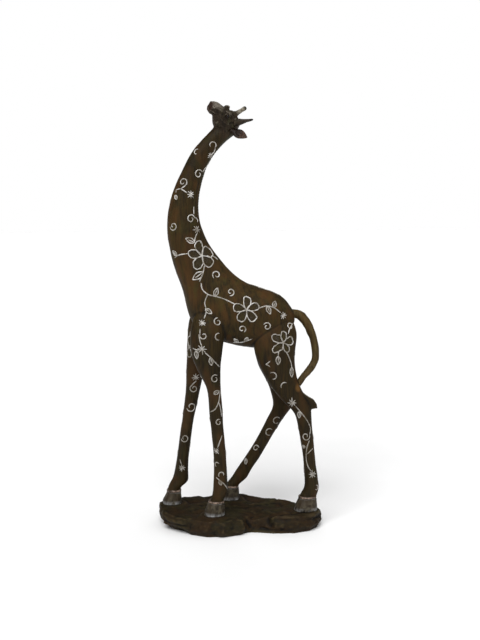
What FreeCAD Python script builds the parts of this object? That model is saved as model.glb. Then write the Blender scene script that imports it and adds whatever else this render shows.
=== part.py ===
"""Carved giraffe statue on a chiselled rock-shaped base.

The figure stands 600 mm tall, faces -X and has its left side towards -Y.  It is built the way a
jointed wood carving is built: a torso, a curved neck, a head and four legs carved apart and pegged
together with dowels, a tail with a tenon, ears and horns glued into drilled seats, bead eyes,
hoof shoes with a pale band, and a plinth held on by four wood screws from below.

Frame: origin at the middle of the underside of the base, +Z up.  All sizes are millimetres.
"""
import FreeCAD, Part
import math
import os
from FreeCAD import Vector

# ---------------------------------------------------------------- driving dimensions
BASE_LENGTH = 236.0
BASE_TOP = 25.0            # height of the plane that the hooves stand on
BASE_WAIST = 9.0           # height of the widest line of the base
BASE_SHOULDER = 19.0       # height where the side facets turn in to the top

HOOF_TOP = 43.0            # the leg rests on the hoof at this height
BAND_HEIGHT = 3.2          # pale band round the top of each hoof
BAND_PROUD = 1.1           # how far the band stands out from the leg

LEG_DOWEL_RADIUS = 4.0
LEG_DOWEL_LENGTH = 40.0
NECK_DOWEL_RADIUS = 6.0
NECK_DOWEL_LENGTH = 64.0
HEAD_DOWEL_RADIUS = 3.5
HEAD_DOWEL_LENGTH = 26.0

TENON_RADIUS = 5.0         # round tenon under each leg, let into its hoof
TENON_LENGTH = 12.0
SCREW_RADIUS = 2.0
SCREW_HEAD_RADIUS = 4.0
SCREW_HEAD_HEIGHT = 2.4
SCREW_RECESS = 3.0         # the screw heads sit this far above the underside
SCREW_TIP = 52.0           # height of the screw's point
SCREW_CLEARANCE = 0.3      # round the shank, inside the base only

SECTION_POINTS = 16
OVAL = 2.2                 # superellipse exponent: 2 is an ellipse, more is squarer


# ---------------------------------------------------------------- helpers
def oval(centre, along, across, half_along, half_across, power=OVAL):
    """A closed smooth outline in the plane of two unit vectors."""
    points = []
    for i in range(SECTION_POINTS):
        angle = 2.0 * math.pi * i / SECTION_POINTS
        c, s = math.cos(angle), math.sin(angle)
        u = math.copysign(abs(c) ** (2.0 / power), c) * half_along
        v = math.copysign(abs(s) ** (2.0 / power), s) * half_across
        points.append(centre + along * u + across * v)
    curve = Part.BSplineCurve()
    steps = [i / SECTION_POINTS for i in range(SECTION_POINTS + 1)]
    curve.interpolate(Points=points, PeriodicFlag=True, Parameters=steps)
    return Part.Wire([curve.toShape()])


def loft(outlines):
    """A closed solid whose skin runs smoothly through the outlines, flat at both ends."""
    curves = [outline.Edges[0].Curve for outline in outlines]
    centres = [outline.BoundBox.Center for outline in outlines]
    steps = [0.0]
    for before, after in zip(centres, centres[1:]):
        steps.append(steps[-1] + max((after - before).Length, 0.5) ** 0.7)
    poles = []
    for column in zip(*[curve.getPoles() for curve in curves]):
        run = Part.BSplineCurve()
        run.interpolate(Points=list(column), Parameters=steps)
        poles.append(run.getPoles())
    skin = Part.BSplineSurface()
    skin.buildFromPolesMultsKnots(
        poles, curves[0].getMultiplicities(), run.getMultiplicities(), curves[0].getKnots(),
        run.getKnots(), True, False, curves[0].Degree, run.Degree,
    )
    ends = [Part.Face(outline) for outline in (outlines[0], outlines[-1])]
    shell = Part.makeShell([skin.toShape()] + ends)
    shell.sewShape()
    solid = Part.makeSolid(shell)
    if solid.Volume < 0:
        solid.reverse()
    return solid


def peg(start, end, radius):
    """A plain round peg between two points."""
    direction = end - start
    return Part.makeCylinder(radius, direction.Length, start, direction)


def carve(shape, *tools):
    """The largest solid left when the tools are cut away."""
    cut = shape.cut(list(tools))
    return max(cut.Solids, key=lambda s: s.Volume)


def path_loft(stations, power=2.0):
    """A bent rod: stations are (point, half size in the bend plane, half size across it)."""
    count = len(stations)
    outlines = []
    for i, (point, half_in, half_across) in enumerate(stations):
        tangent = stations[min(i + 1, count - 1)][0] - stations[max(i - 1, 0)][0]
        tangent.normalize()
        across = Vector(0, 1, 0) - tangent * tangent.y
        across.normalize()
        in_plane = across.cross(tangent)
        outlines.append(oval(point, in_plane, across, half_in, half_across, power))
    return loft(outlines)


# ---------------------------------------------------------------- trunk: neck and torso
# Each station of the trunk runs from its under side (throat, chest, belly) to its upper side
# (nape, withers, back) in the middle plane, with its half width sideways.
NECK_STATIONS = [
    # under x, z      upper x, z     half width
    ((-36, 567), (-7, 557), 11.5),
    ((-46.5, 555.5), (-22, 545.5), 11.5),
    ((-56, 545.5), (-34, 532.5), 11.8),
    ((-66, 533), (-44.5, 517), 12.5),
    ((-76, 516.5), (-51, 501.5), 13.5),
    ((-86, 496), (-56, 483), 15.0),
    ((-94.5, 474), (-58.3, 465), 16.5),
    ((-100.5, 449), (-58, 446), 18.0),
    ((-102, 425), (-53.5, 427), 19.5),
    ((-99.5, 401), (-44, 405), 21.5),
    ((-93, 375), (-30, 386), 24.0),
    ((-85, 353), (-12, 365), 27.0),
    ((-79, 333), (8, 351), 30.0),
]
TORSO_STATIONS = [
    ((-73, 308), (21, 346), 33.0),
    ((-60, 287), (33, 341.5), 35.0),
    ((-36, 271), (44, 337.5), 36.0),
    ((-6, 261.5), (54, 333), 36.0),
    ((24, 257), (63, 326.5), 34.0),
    ((50, 262), (71, 317.5), 29.0),
    ((66, 274), (77, 306), 20.0),
    ((73.5, 284), (78.5, 297), 9.0),
]


def trunk_outline(station):
    (x0, z0), (x1, z1), half_width = station
    under, upper = Vector(x0, 0, z0), Vector(x1, 0, z1)
    along = upper - under
    half = along.Length / 2.0
    along.normalize()
    return oval((under + upper) * 0.5, along, Vector(0, 1, 0), half, half_width)


def trunk_and_split():
    """The whole trunk, cut at the shoulder into neck and torso along one flat glue face."""
    trunk = loft([trunk_outline(s) for s in NECK_STATIONS + TORSO_STATIONS])
    (x0, z0), (x1, z1), _ = NECK_STATIONS[-1]
    under, upper = Vector(x0, 0, z0), Vector(x1, 0, z1)
    along = upper - under
    along.normalize()
    normal = Vector(0, 1, 0).cross(along)
    if normal.z < 0:
        normal = normal * -1.0
    reach = 400.0
    middle = (under + upper) * 0.5
    corner = middle - along * reach - Vector(0, reach, 0)
    face = Part.Face(Part.makePolygon([
        corner,
        corner + along * 2 * reach,
        corner + along * 2 * reach + Vector(0, 2 * reach, 0),
        corner + Vector(0, 2 * reach, 0),
        corner,
    ]))
    above = face.extrude(normal * reach)
    neck = max(trunk.common(above).Solids, key=lambda s: s.Volume)
    torso = max(trunk.cut(above).Solids, key=lambda s: s.Volume)
    return neck, torso, middle, normal


# ---------------------------------------------------------------- legs
# Horizontal stations down each leg: height, front x, back x, middle y, half thickness.
LEGS = {
    "leg_front_left": [
        (320, -56, -32, -15, 7),
        (303, -68, -24, -19, 13),
        (278, -73, -25, -22.5, 16),
        (252, -71, -29.5, -25, 15),
        (230, -63, -31.5, -26.5, 13.5),
        (206, -51, -31, -28.5, 11.5),
        (176, -48.5, -29.5, -30.5, 10.5),
        (150, -46, -28, -32, 10),
        (120, -43.2, -25.5, -33.5, 9.5),
        (90, -42.2, -24, -35, 9.5),
        (68, -43, -23, -36.5, 10),
        (58, -44, -23.5, -37, 10),
        (51, -45.5, -27, -37, 9.5),
        (HOOF_TOP, -49, -29, -37, 9.5),
    ],
    "leg_front_right": [
        (320, -58, -34, 15, 7),
        (303, -69, -30, 18, 12),
        (272, -73, -36, 19, 14.5),
        (242, -74.5, -44, 18, 13.5),
        (216, -75.5, -51, 17, 12.5),
        (195, -76.5, -56, 17.5, 11.5),
        (170, -79, -61, 18.5, 10.5),
        (145, -82.3, -66, 20, 10),
        (110, -87, -70.3, 22, 9.5),
        (80, -91.5, -73, 24, 9.5),
        (64, -95, -72.8, 25, 10),
        (57, -98.5, -74.8, 25, 10),
        (50, -102, -82.5, 25, 9.5),
        (HOOF_TOP, -103.5, -84.5, 25, 9.5),
    ],
    "leg_hind_left": [
        (308, 40, 62, -15, 7),
        (296, 26, 73, -18.5, 13),
        (276, 17.5, 77.5, -21.5, 16),
        (252, 18, 75, -23.5, 15.5),
        (229, 27, 75.5, -25, 14.5),
        (208, 38.5, 81, -26, 13),
        (190, 52, 90, -27.5, 12),
        (177, 65, 97, -28.5, 11),
        (164, 74.5, 98.5, -29, 10.5),
        (147, 79.5, 99.2, -29.5, 10),
        (120, 84, 102, -30.5, 9.5),
        (90, 87.8, 105, -31.5, 9.5),
        (68, 89, 108.5, -32.5, 10),
        (58, 88, 109.5, -33, 10),
        (50, 84, 107.5, -33, 9.5),
        (HOOF_TOP, 81, 105, -33, 9.5),
    ],
    "leg_hind_right": [
        (308, 42, 62, 15, 7),
        (296, 30, 72, 18.5, 12.5),
        (276, 23, 74, 21, 15.5),
        (252, 24, 73, 23, 15),
        (226, 31, 76, 24, 14),
        (206, 41, 82, 25, 12.5),
        (190, 48, 88, 26, 11.5),
        (177, 52, 88, 27, 11),
        (165, 53, 82.5, 28, 10.5),
        (152, 48.5, 73, 29, 10),
        (135, 40, 61.5, 30, 9.5),
        (105, 23, 43.5, 31.5, 9.5),
        (80, 7.5, 28.5, 33, 9.5),
        (64, -3.5, 18.5, 34, 10),
        (56, -9, 14, 34, 10),
        (49, -14.5, 5.5, 34, 9.5),
        (HOOF_TOP, -16.5, 1.5, 34, 9.5),
    ],
}

# The hoof's sole reaches this far beyond the leg's foot: towards the toe, the heel and sideways.
TOE_REACH = 6.0
HEEL_REACH = 0.8
SIDE_REACH = 2.2


def leg_outline(station):
    height, front, back, middle_y, half_y = station
    return oval(
        Vector((front + back) / 2.0, middle_y, height),
        Vector(1, 0, 0), Vector(0, 1, 0), (back - front) / 2.0, half_y,
    )


def foot_centre(name):
    height, front, back, middle_y, _ = LEGS[name][-1]
    return Vector((front + back) / 2.0, middle_y, height)


def leg(name):
    shape = loft([leg_outline(s) for s in reversed(LEGS[name])])
    foot = foot_centre(name)
    tenon = peg(foot - Vector(0, 0, TENON_LENGTH), foot + Vector(0, 0, 4.0), TENON_RADIUS)
    shape = shape.fuse(tenon)
    if name == "leg_hind_left":
        shape = shape.fuse(hock_point())
    return max(shape.Solids, key=lambda s: s.Volume)


def hock_point():
    """The pointed heel of the near hock: rounded above, flat below."""
    def blade(half_y):
        profile = [
            Vector(84, half_y - 28.5, 197), Vector(95, half_y - 28.5, 188.5),
            Vector(102, half_y - 28.5, 184.5), Vector(105.5, half_y - 28.5, 179),
            Vector(106.5, half_y - 28.5, 173), Vector(97, half_y - 28.5, 171.5),
            Vector(84, half_y - 28.5, 172),
        ]
        return Part.Wire(Part.makePolygon(profile + profile[:1]))

    return Part.Face(blade(-6.0)).extrude(Vector(0, 12.0, 0))


def leg_dowel(name):
    """A dowel up the middle of the leg's head, half in the leg and half in the torso."""
    height, front, back, middle_y, _ = LEGS[name][0]
    middle = Vector((front + back) / 2.0, middle_y * 0.9, height)
    half = Vector(0, 0, LEG_DOWEL_LENGTH / 2.0)
    return peg(middle - half, middle + half - Vector(0, 0, 8.0), LEG_DOWEL_RADIUS)


def hoof(name):
    """A shoe-shaped hoof: wide at the toe, flat above and below."""
    _, front, back, middle_y, half_y = LEGS[name][-1]
    centre_x = (front + back) / 2.0
    half_x = (back - front) / 2.0
    shift = (TOE_REACH - HEEL_REACH) / 2.0
    grow = (TOE_REACH + HEEL_REACH) / 2.0
    outlines = []
    for height, share in ((BASE_TOP, 1.0), (BASE_TOP + 3.0, 0.97), (BASE_TOP + 10.0, 0.55),
                          (HOOF_TOP, 0.0)):
        outlines.append(oval(
            Vector(centre_x - shift * share, middle_y, height),
            Vector(1, 0, 0), Vector(0, 1, 0),
            half_x + 1.0 + grow * share, half_y + 1.0 + SIDE_REACH * share, 2.4,
        ))
    return loft(outlines)


def band(name, leg_shape):
    """The pale rounded band at the top of the hoof, fitted round the leg."""
    _, front, back, middle_y, half_y = LEGS[name][-1]
    centre_x = (front + back) / 2.0
    outlines = []
    for share, proud in ((0.0, 0.5), (0.25, 1.0), (0.75, 1.0), (1.0, 0.4)):
        outlines.append(oval(
            Vector(centre_x, middle_y, HOOF_TOP + BAND_HEIGHT * share),
            Vector(1, 0, 0), Vector(0, 1, 0),
            (back - front) / 2.0 + BAND_PROUD * proud, half_y + BAND_PROUD * proud,
        ))
    return carve(loft(outlines), leg_shape)


# ---------------------------------------------------------------- screws from below
def screw(name):
    foot = foot_centre(name)
    x, y = foot.x, foot.y
    head_top = SCREW_RECESS + SCREW_HEAD_HEIGHT
    head = Part.makeCone(SCREW_HEAD_RADIUS, SCREW_RADIUS, SCREW_HEAD_HEIGHT,
                         Vector(x, y, SCREW_RECESS))
    shank = peg(Vector(x, y, head_top), Vector(x, y, SCREW_TIP - 5.0), SCREW_RADIUS)
    point = Part.makeCone(SCREW_RADIUS, 0.4, 5.0, Vector(x, y, SCREW_TIP - 5.0))
    slot_length, slot_width, slot_depth = 4.4, 0.9, 1.4
    slots = [
        Part.makeBox(slot_length, slot_width, slot_depth,
                     Vector(x - slot_length / 2, y - slot_width / 2, SCREW_RECESS)),
        Part.makeBox(slot_width, slot_length, slot_depth,
                     Vector(x - slot_width / 2, y - slot_length / 2, SCREW_RECESS)),
    ]
    return carve(head.fuse([shank, point]), *slots)


def screw_hole(name):
    """Clearance through the base: a recess, a countersink and a shank hole."""
    foot = foot_centre(name)
    x, y = foot.x, foot.y
    recess = peg(Vector(x, y, 0), Vector(x, y, SCREW_RECESS), SCREW_HEAD_RADIUS + SCREW_CLEARANCE)
    sink = Part.makeCone(SCREW_HEAD_RADIUS + SCREW_CLEARANCE, SCREW_RADIUS + SCREW_CLEARANCE,
                         SCREW_HEAD_HEIGHT, Vector(x, y, SCREW_RECESS))
    shank = peg(Vector(x, y, SCREW_RECESS), Vector(x, y, BASE_TOP), SCREW_RADIUS + SCREW_CLEARANCE)
    return recess.fuse([sink, shank])


# ---------------------------------------------------------------- base
# The widest line of the base, seen from above, anticlockwise from the right-hand end, with how
# far the foot of the rock is cut in below each corner.
BASE_OUTLINE = [
    (118, -28, 9), (113, -8, 7), (95, 9, 5), (73, 26, 5), (47, 45, 5), (20, 60, 6),
    (-12, 68, 5), (-44, 68, 5), (-74, 63, 6), (-99, 51, 7), (-116, 31, 9), (-118, 4, 12),
    (-114, -20, 17), (-100, -37, 18), (-84, -52, 10), (-58, -64, 6), (-32, -68, 7),
    (-8, -63, 7), (6, -54, 6), (20, -55, 5), (44, -62, 5), (74, -64, 6), (98, -58, 8),
    (112, -45, 9),
]


def base():
    """A chiselled rock: flat facets between four uneven rings, flat above and below.

    The left end overhangs its foot, the right end slopes outwards towards it.
    """
    def ring(height, inset):
        points = []
        for i, (x, y, cut_in) in enumerate(BASE_OUTLINE):
            shrink = inset(i, x / BASE_LENGTH * 2.0, cut_in)
            keep = 1.0 - shrink / math.hypot(x, y)
            points.append(Vector(x * keep, y * keep, height))
        return points

    rings = [
        ring(0.0, lambda i, side, cut_in: cut_in),
        ring(BASE_WAIST, lambda i, side, cut_in: max(0.0, -3.0 * side)),
        ring(BASE_SHOULDER, lambda i, side, cut_in: (1.0 + side) * (1.0 + i % 3)),
        ring(BASE_TOP, lambda i, side, cut_in: 4.5 + 2.5 * side + 1.2 * math.sin(2.4 * i)),
    ]
    faces = []
    count = len(BASE_OUTLINE)
    for lower, upper in zip(rings, rings[1:]):
        for i in range(count):
            j = (i + 1) % count
            a, b, c, d = lower[i], lower[j], upper[j], upper[i]
            if i % 2:
                corners = ((a, b, d), (b, c, d))
            else:
                corners = ((a, b, c), (a, c, d))
            for p, q, r in corners:
                faces.append(Part.Face(Part.makePolygon([p, q, r, p])))
    faces.append(Part.Face(Part.makePolygon(rings[0] + rings[0][:1])))
    faces.append(Part.Face(Part.makePolygon(rings[-1] + rings[-1][:1])))
    rock = Part.makeSolid(Part.makeShell(faces))
    if rock.Volume < 0:
        rock.reverse()
    return rock


# ---------------------------------------------------------------- head
HEAD_CENTRE = Vector(-18.8, -4.0, 575.4)
HEAD_TURN = 20.0           # degrees from -X towards the left side
HEAD_PITCH = 27.0          # degrees that the nose points up
HEAD_ROLL = 35.0           # degrees that the left side is dropped


def head_axes():
    """Unit vectors of the head: forward, left and up."""
    turn, pitch, roll = (math.radians(a) for a in (HEAD_TURN, HEAD_PITCH, HEAD_ROLL))
    forward = Vector(-math.cos(pitch) * math.cos(turn), -math.cos(pitch) * math.sin(turn),
                     math.sin(pitch))
    level_left = Vector(0, 0, 1).cross(forward)
    level_left.normalize()
    level_up = forward.cross(level_left)
    left = level_left * math.cos(roll) - level_up * math.sin(roll)
    up = forward.cross(left)
    return forward, left, up


FORWARD, LEFT, UP = head_axes()


def in_head(ahead, left, up):
    """A point given in the head's own directions from the middle of the skull."""
    return HEAD_CENTRE + FORWARD * ahead + LEFT * left + UP * up


# Stations from the back of the skull to the lips: ahead, middle up, half height, half width,
# superellipse exponent.  The muzzle is squarer than the skull and slopes down to its front.
HEAD_STATIONS = [
    (-19, -1.0, 5.0, 5.0, 2.1),
    (-15, -1.0, 10.0, 9.0, 2.1),
    (-8, -0.8, 13.5, 12.5, 2.1),
    (2, -1.6, 15.8, 13.0, 2.1),
    (11, -1.8, 15.2, 12.0, 2.1),
    (18, 1.9, 11.4, 10.4, 2.2),
    (23, 4.6, 8.7, 9.6, 2.5),
    (26.5, 4.8, 7.6, 9.9, 3.2),
    (29.6, 4.4, 6.6, 9.9, 3.4),
    (32.4, 4.1, 4.9, 8.9, 3.2),
]
EYE_AHEAD, EYE_SIDE, EYE_UP, EYE_RADIUS = 7.6, 11.2, 9.2, 2.7
BROW_AHEAD, BROW_SIDE, BROW_UP, BROW_RADIUS = 8.2, 8.6, 10.0, 4.75

# Horns: where the middle of the root sits and which way the tip lies: ahead, outwards, up.
HORN_ROOT = {1: (-9.5, 11.0, 9.0), -1: (-9.2, 11.2, 10.2)}
HORN_LEAN = {1: (-14.0, 1.0, 14.5), -1: (-8.6, 5.5, 13.4)}
# The left horn tapers to a point, the right one stays thick and blunt: share of the lean, radius.
HORN_STATIONS = {
    1: ((-0.30, 5.2), (0.0, 5.4), (0.25, 4.2), (0.5, 2.9), (0.8, 1.9), (1.0, 1.3), (1.08, 0.6)),
    -1: ((-0.30, 4.4), (0.0, 4.6), (0.25, 3.5), (0.5, 2.9), (0.8, 2.8), (1.0, 2.5), (1.07, 1.4)),
}
EAR_ROOT = (-11.0, 13.2, -4.0)
EAR_LEAN = (-14.0, 11.5, 6.0)
EAR_FACING = (0.80, 0.45, 0.75)
EAR_STATIONS = ((-0.15, 3.0, 2.4), (0.15, 5.0, 2.6), (0.4, 7.2, 2.4), (0.65, 7.2, 2.0),
                (0.92, 4.7, 1.6), (1.2, 0.8, 0.7))    # share of the lean, half width, thickness


def head_shell():
    outlines = [
        oval(in_head(ahead, 0, middle), UP, LEFT, half_height, half_width, power)
        for ahead, middle, half_height, half_width, power in HEAD_STATIONS
    ]
    shape = loft(outlines)
    brows = [Part.makeSphere(BROW_RADIUS, in_head(BROW_AHEAD, side * BROW_SIDE, BROW_UP))
             for side in (1, -1)]
    shape = shape.fuse(brows)
    return max(shape.Solids, key=lambda s: s.Volume)


def head_direction(ahead, outwards, up, side):
    return FORWARD * ahead + LEFT * (side * outwards) + UP * up


def horn(side):
    lean = head_direction(*HORN_LEAN[side], side)
    ahead, outwards, up = HORN_ROOT[side]
    root = in_head(ahead, side * outwards, up)
    across = lean.cross(FORWARD)
    across.normalize()
    other = across.cross(lean)
    other.normalize()
    return loft([oval(root + lean * d, across, other, r, r, 2.0) for d, r in HORN_STATIONS[side]])


def ear(side):
    """A leaf-shaped ear, hollowed on the face that looks ahead and up."""
    lean = head_direction(*EAR_LEAN, side)
    root = in_head(EAR_ROOT[0], side * EAR_ROOT[1], EAR_ROOT[2])
    run = Vector(lean)
    run.normalize()
    facing = head_direction(*EAR_FACING, side)
    facing = facing - run * facing.dot(run)
    facing.normalize()
    width = run.cross(facing)
    leaf = loft([oval(root + lean * d, width, facing, w, t, 2.0) for d, w, t in EAR_STATIONS])
    scoop = Part.makeSphere(11.0, root + lean * 0.58 + facing * 11.3)
    return carve(leaf, scoop)


def eye(side):
    return Part.makeSphere(EYE_RADIUS, in_head(EYE_AHEAD, side * EYE_SIDE, EYE_UP))


# ---------------------------------------------------------------- tail
TAIL_STATIONS = [
    (Vector(62, 0, 300), 5.0, 5.0),
    (Vector(74, -1, 305), 6.4, 6.4),
    (Vector(85, -3, 303), 6.6, 6.4),
    (Vector(94, -6, 294), 6.4, 6.2),
    (Vector(100, -9, 281), 6.1, 5.8),
    (Vector(104.5, -11.5, 268), 5.6, 5.4),
    (Vector(106.5, -14, 254), 5.4, 5.2),
    (Vector(105, -17.5, 239), 5.4, 5.0),
    (Vector(98.5, -20.5, 229), 5.0, 4.8),
    (Vector(90.6, -23, 220.5), 4.6, 4.8),
    (Vector(84, -25, 213), 4.5, 4.8),
    (Vector(79, -26.5, 205), 4.2, 4.6),
    (Vector(77.5, -27.5, 198), 2.2, 3.0),
]


# ---------------------------------------------------------------- assembly
def main():
    nodes = {}
    neck, torso, neck_seat, neck_normal = trunk_and_split()
    neck_dowel = peg(neck_seat - neck_normal * (NECK_DOWEL_LENGTH / 2.0),
                     neck_seat + neck_normal * (NECK_DOWEL_LENGTH / 2.0), NECK_DOWEL_RADIUS)
    neck_top = Vector(-21, 0, 559.5)
    neck_run = Vector(0.60, 0, 0.80)
    head_dowel = peg(neck_top - neck_run * (HEAD_DOWEL_LENGTH * 0.6),
                     neck_top + neck_run * (HEAD_DOWEL_LENGTH * 0.4), HEAD_DOWEL_RADIUS)

    legs = {name: leg(name) for name in LEGS}
    dowels = {name: leg_dowel(name) for name in LEGS}
    screws = {name: screw(name) for name in LEGS}
    tail = path_loft(TAIL_STATIONS)

    torso = carve(torso, *legs.values(), *dowels.values(), neck_dowel, tail)
    tail = carve(tail, legs["leg_hind_left"])
    bands = {name: band(name, legs[name]) for name in LEGS}
    for name in LEGS:
        nodes[name] = carve(legs[name], dowels[name], screws[name])
        nodes[name.replace("leg", "hoof")] = carve(hoof(name), legs[name], screws[name])
        nodes[name.replace("leg", "band")] = bands[name]
        nodes[name.replace("leg", "dowel")] = dowels[name]
    nodes["base_screws"] = Part.makeCompound(list(screws.values()))
    nodes["base"] = carve(base(), *[screw_hole(name) for name in LEGS])

    horns = {side: horn(side) for side in (1, -1)}
    ears = {side: carve(ear(side), neck) for side in (1, -1)}
    eyes = {side: eye(side) for side in (1, -1)}
    head = head_shell()
    head = carve(head, neck, head_dowel, *horns.values(), *ears.values(), *eyes.values())
    for side, word in ((1, "left"), (-1, "right")):
        nodes["horn_" + word] = horns[side]
        nodes["ear_" + word] = ears[side]
        nodes["eye_" + word] = eyes[side]
    nodes["head"] = head
    nodes["neck"] = carve(neck, neck_dowel, head_dowel)
    nodes["torso"] = torso
    nodes["tail"] = tail
    nodes["dowel_neck"] = neck_dowel
    nodes["dowel_head"] = head_dowel

    os.makedirs("parts", exist_ok=True)
    for name, shape in sorted(nodes.items()):
        box = shape.BoundBox
        print("%-18s solids %d valid %s volume %8.0f  x %7.1f %7.1f y %7.1f %7.1f z %7.1f %7.1f" % (
            name, len(shape.Solids), shape.isValid(), shape.Volume,
            box.XMin, box.XMax, box.YMin, box.YMax, box.ZMin, box.ZMax))
        shape.exportStep(os.path.join("parts", name + ".step"))


main()
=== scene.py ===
import math
import random

import bmesh
import bpy
import numpy as np
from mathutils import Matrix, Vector, noise
from mathutils.bvhtree import BVHTree


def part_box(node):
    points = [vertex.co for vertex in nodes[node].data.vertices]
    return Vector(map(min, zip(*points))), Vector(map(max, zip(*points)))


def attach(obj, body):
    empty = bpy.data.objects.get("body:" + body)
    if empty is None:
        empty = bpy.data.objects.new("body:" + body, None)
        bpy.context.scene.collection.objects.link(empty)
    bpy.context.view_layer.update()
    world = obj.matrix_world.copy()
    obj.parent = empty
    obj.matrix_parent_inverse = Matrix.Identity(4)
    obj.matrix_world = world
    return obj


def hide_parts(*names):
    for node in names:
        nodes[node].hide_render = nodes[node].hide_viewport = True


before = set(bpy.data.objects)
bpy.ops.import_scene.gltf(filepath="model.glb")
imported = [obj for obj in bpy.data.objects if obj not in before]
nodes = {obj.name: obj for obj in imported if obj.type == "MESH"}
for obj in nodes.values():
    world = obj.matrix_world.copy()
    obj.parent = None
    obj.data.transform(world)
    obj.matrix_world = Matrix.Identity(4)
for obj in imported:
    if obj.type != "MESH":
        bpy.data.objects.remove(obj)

# Lengths are worked out in millimetres of the row frame and written to Blender in metres.
MM = 0.001
UP = Vector((0, 0, 1))
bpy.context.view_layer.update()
draws = random.Random(20)

LEGS = ("front_left", "front_right", "hind_left", "hind_right")
SIDES = ((1, "left"), (-1, "right"))
EYE_POINT = Vector((-199.0, -1416.1, 490.0))      # where the camera stands
HEADING = math.radians(8.0)
DIP = math.radians(7.686)

# The head's own directions: forward along the nose, towards its left, and up through the crown.
HEAD_CENTRE = Vector((-18.8, -4.0, 575.4))
HEAD_TURN, HEAD_PITCH, HEAD_ROLL = (math.radians(a) for a in (20.0, 27.0, 35.0))
FORWARD = Vector((-math.cos(HEAD_PITCH) * math.cos(HEAD_TURN),
                  -math.cos(HEAD_PITCH) * math.sin(HEAD_TURN), math.sin(HEAD_PITCH)))
LEVEL = UP.cross(FORWARD).normalized()
LEFT = LEVEL * math.cos(HEAD_ROLL) - FORWARD.cross(LEVEL) * math.sin(HEAD_ROLL)
CROWN = FORWARD.cross(LEFT)


def in_head(ahead, left, up):
    return HEAD_CENTRE + FORWARD * ahead + LEFT * left + CROWN * up


def hoof_box(leg):
    """The lowest and highest corners and the middle of a hoof."""
    low, high = (Vector(corner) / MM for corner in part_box("hoof_" + leg))
    return low, high, (low + high) / 2


# ---------------------------------------------------------------- meshes as arrays
def rise(values, start, end):
    """0 as far as the start, 1 from the end on, and even between them."""
    return np.clip((values - start) / (end - start), 0, 1)


def smooth_mesh(name, points, faces, **marks):
    """A smooth-shaded mesh in metres, with each mark as a value per point."""
    mesh = bpy.data.meshes.new(name)
    mesh.from_pydata(points, [], faces)
    mesh.validate()
    mesh.polygons.foreach_set("use_smooth", np.ones(len(mesh.polygons), bool))
    for mark, values in marks.items():
        layer = mesh.attributes.new(mark, "FLOAT", "POINT")
        layer.data.foreach_set("value", np.array(values, np.float32))
    return mesh


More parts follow.
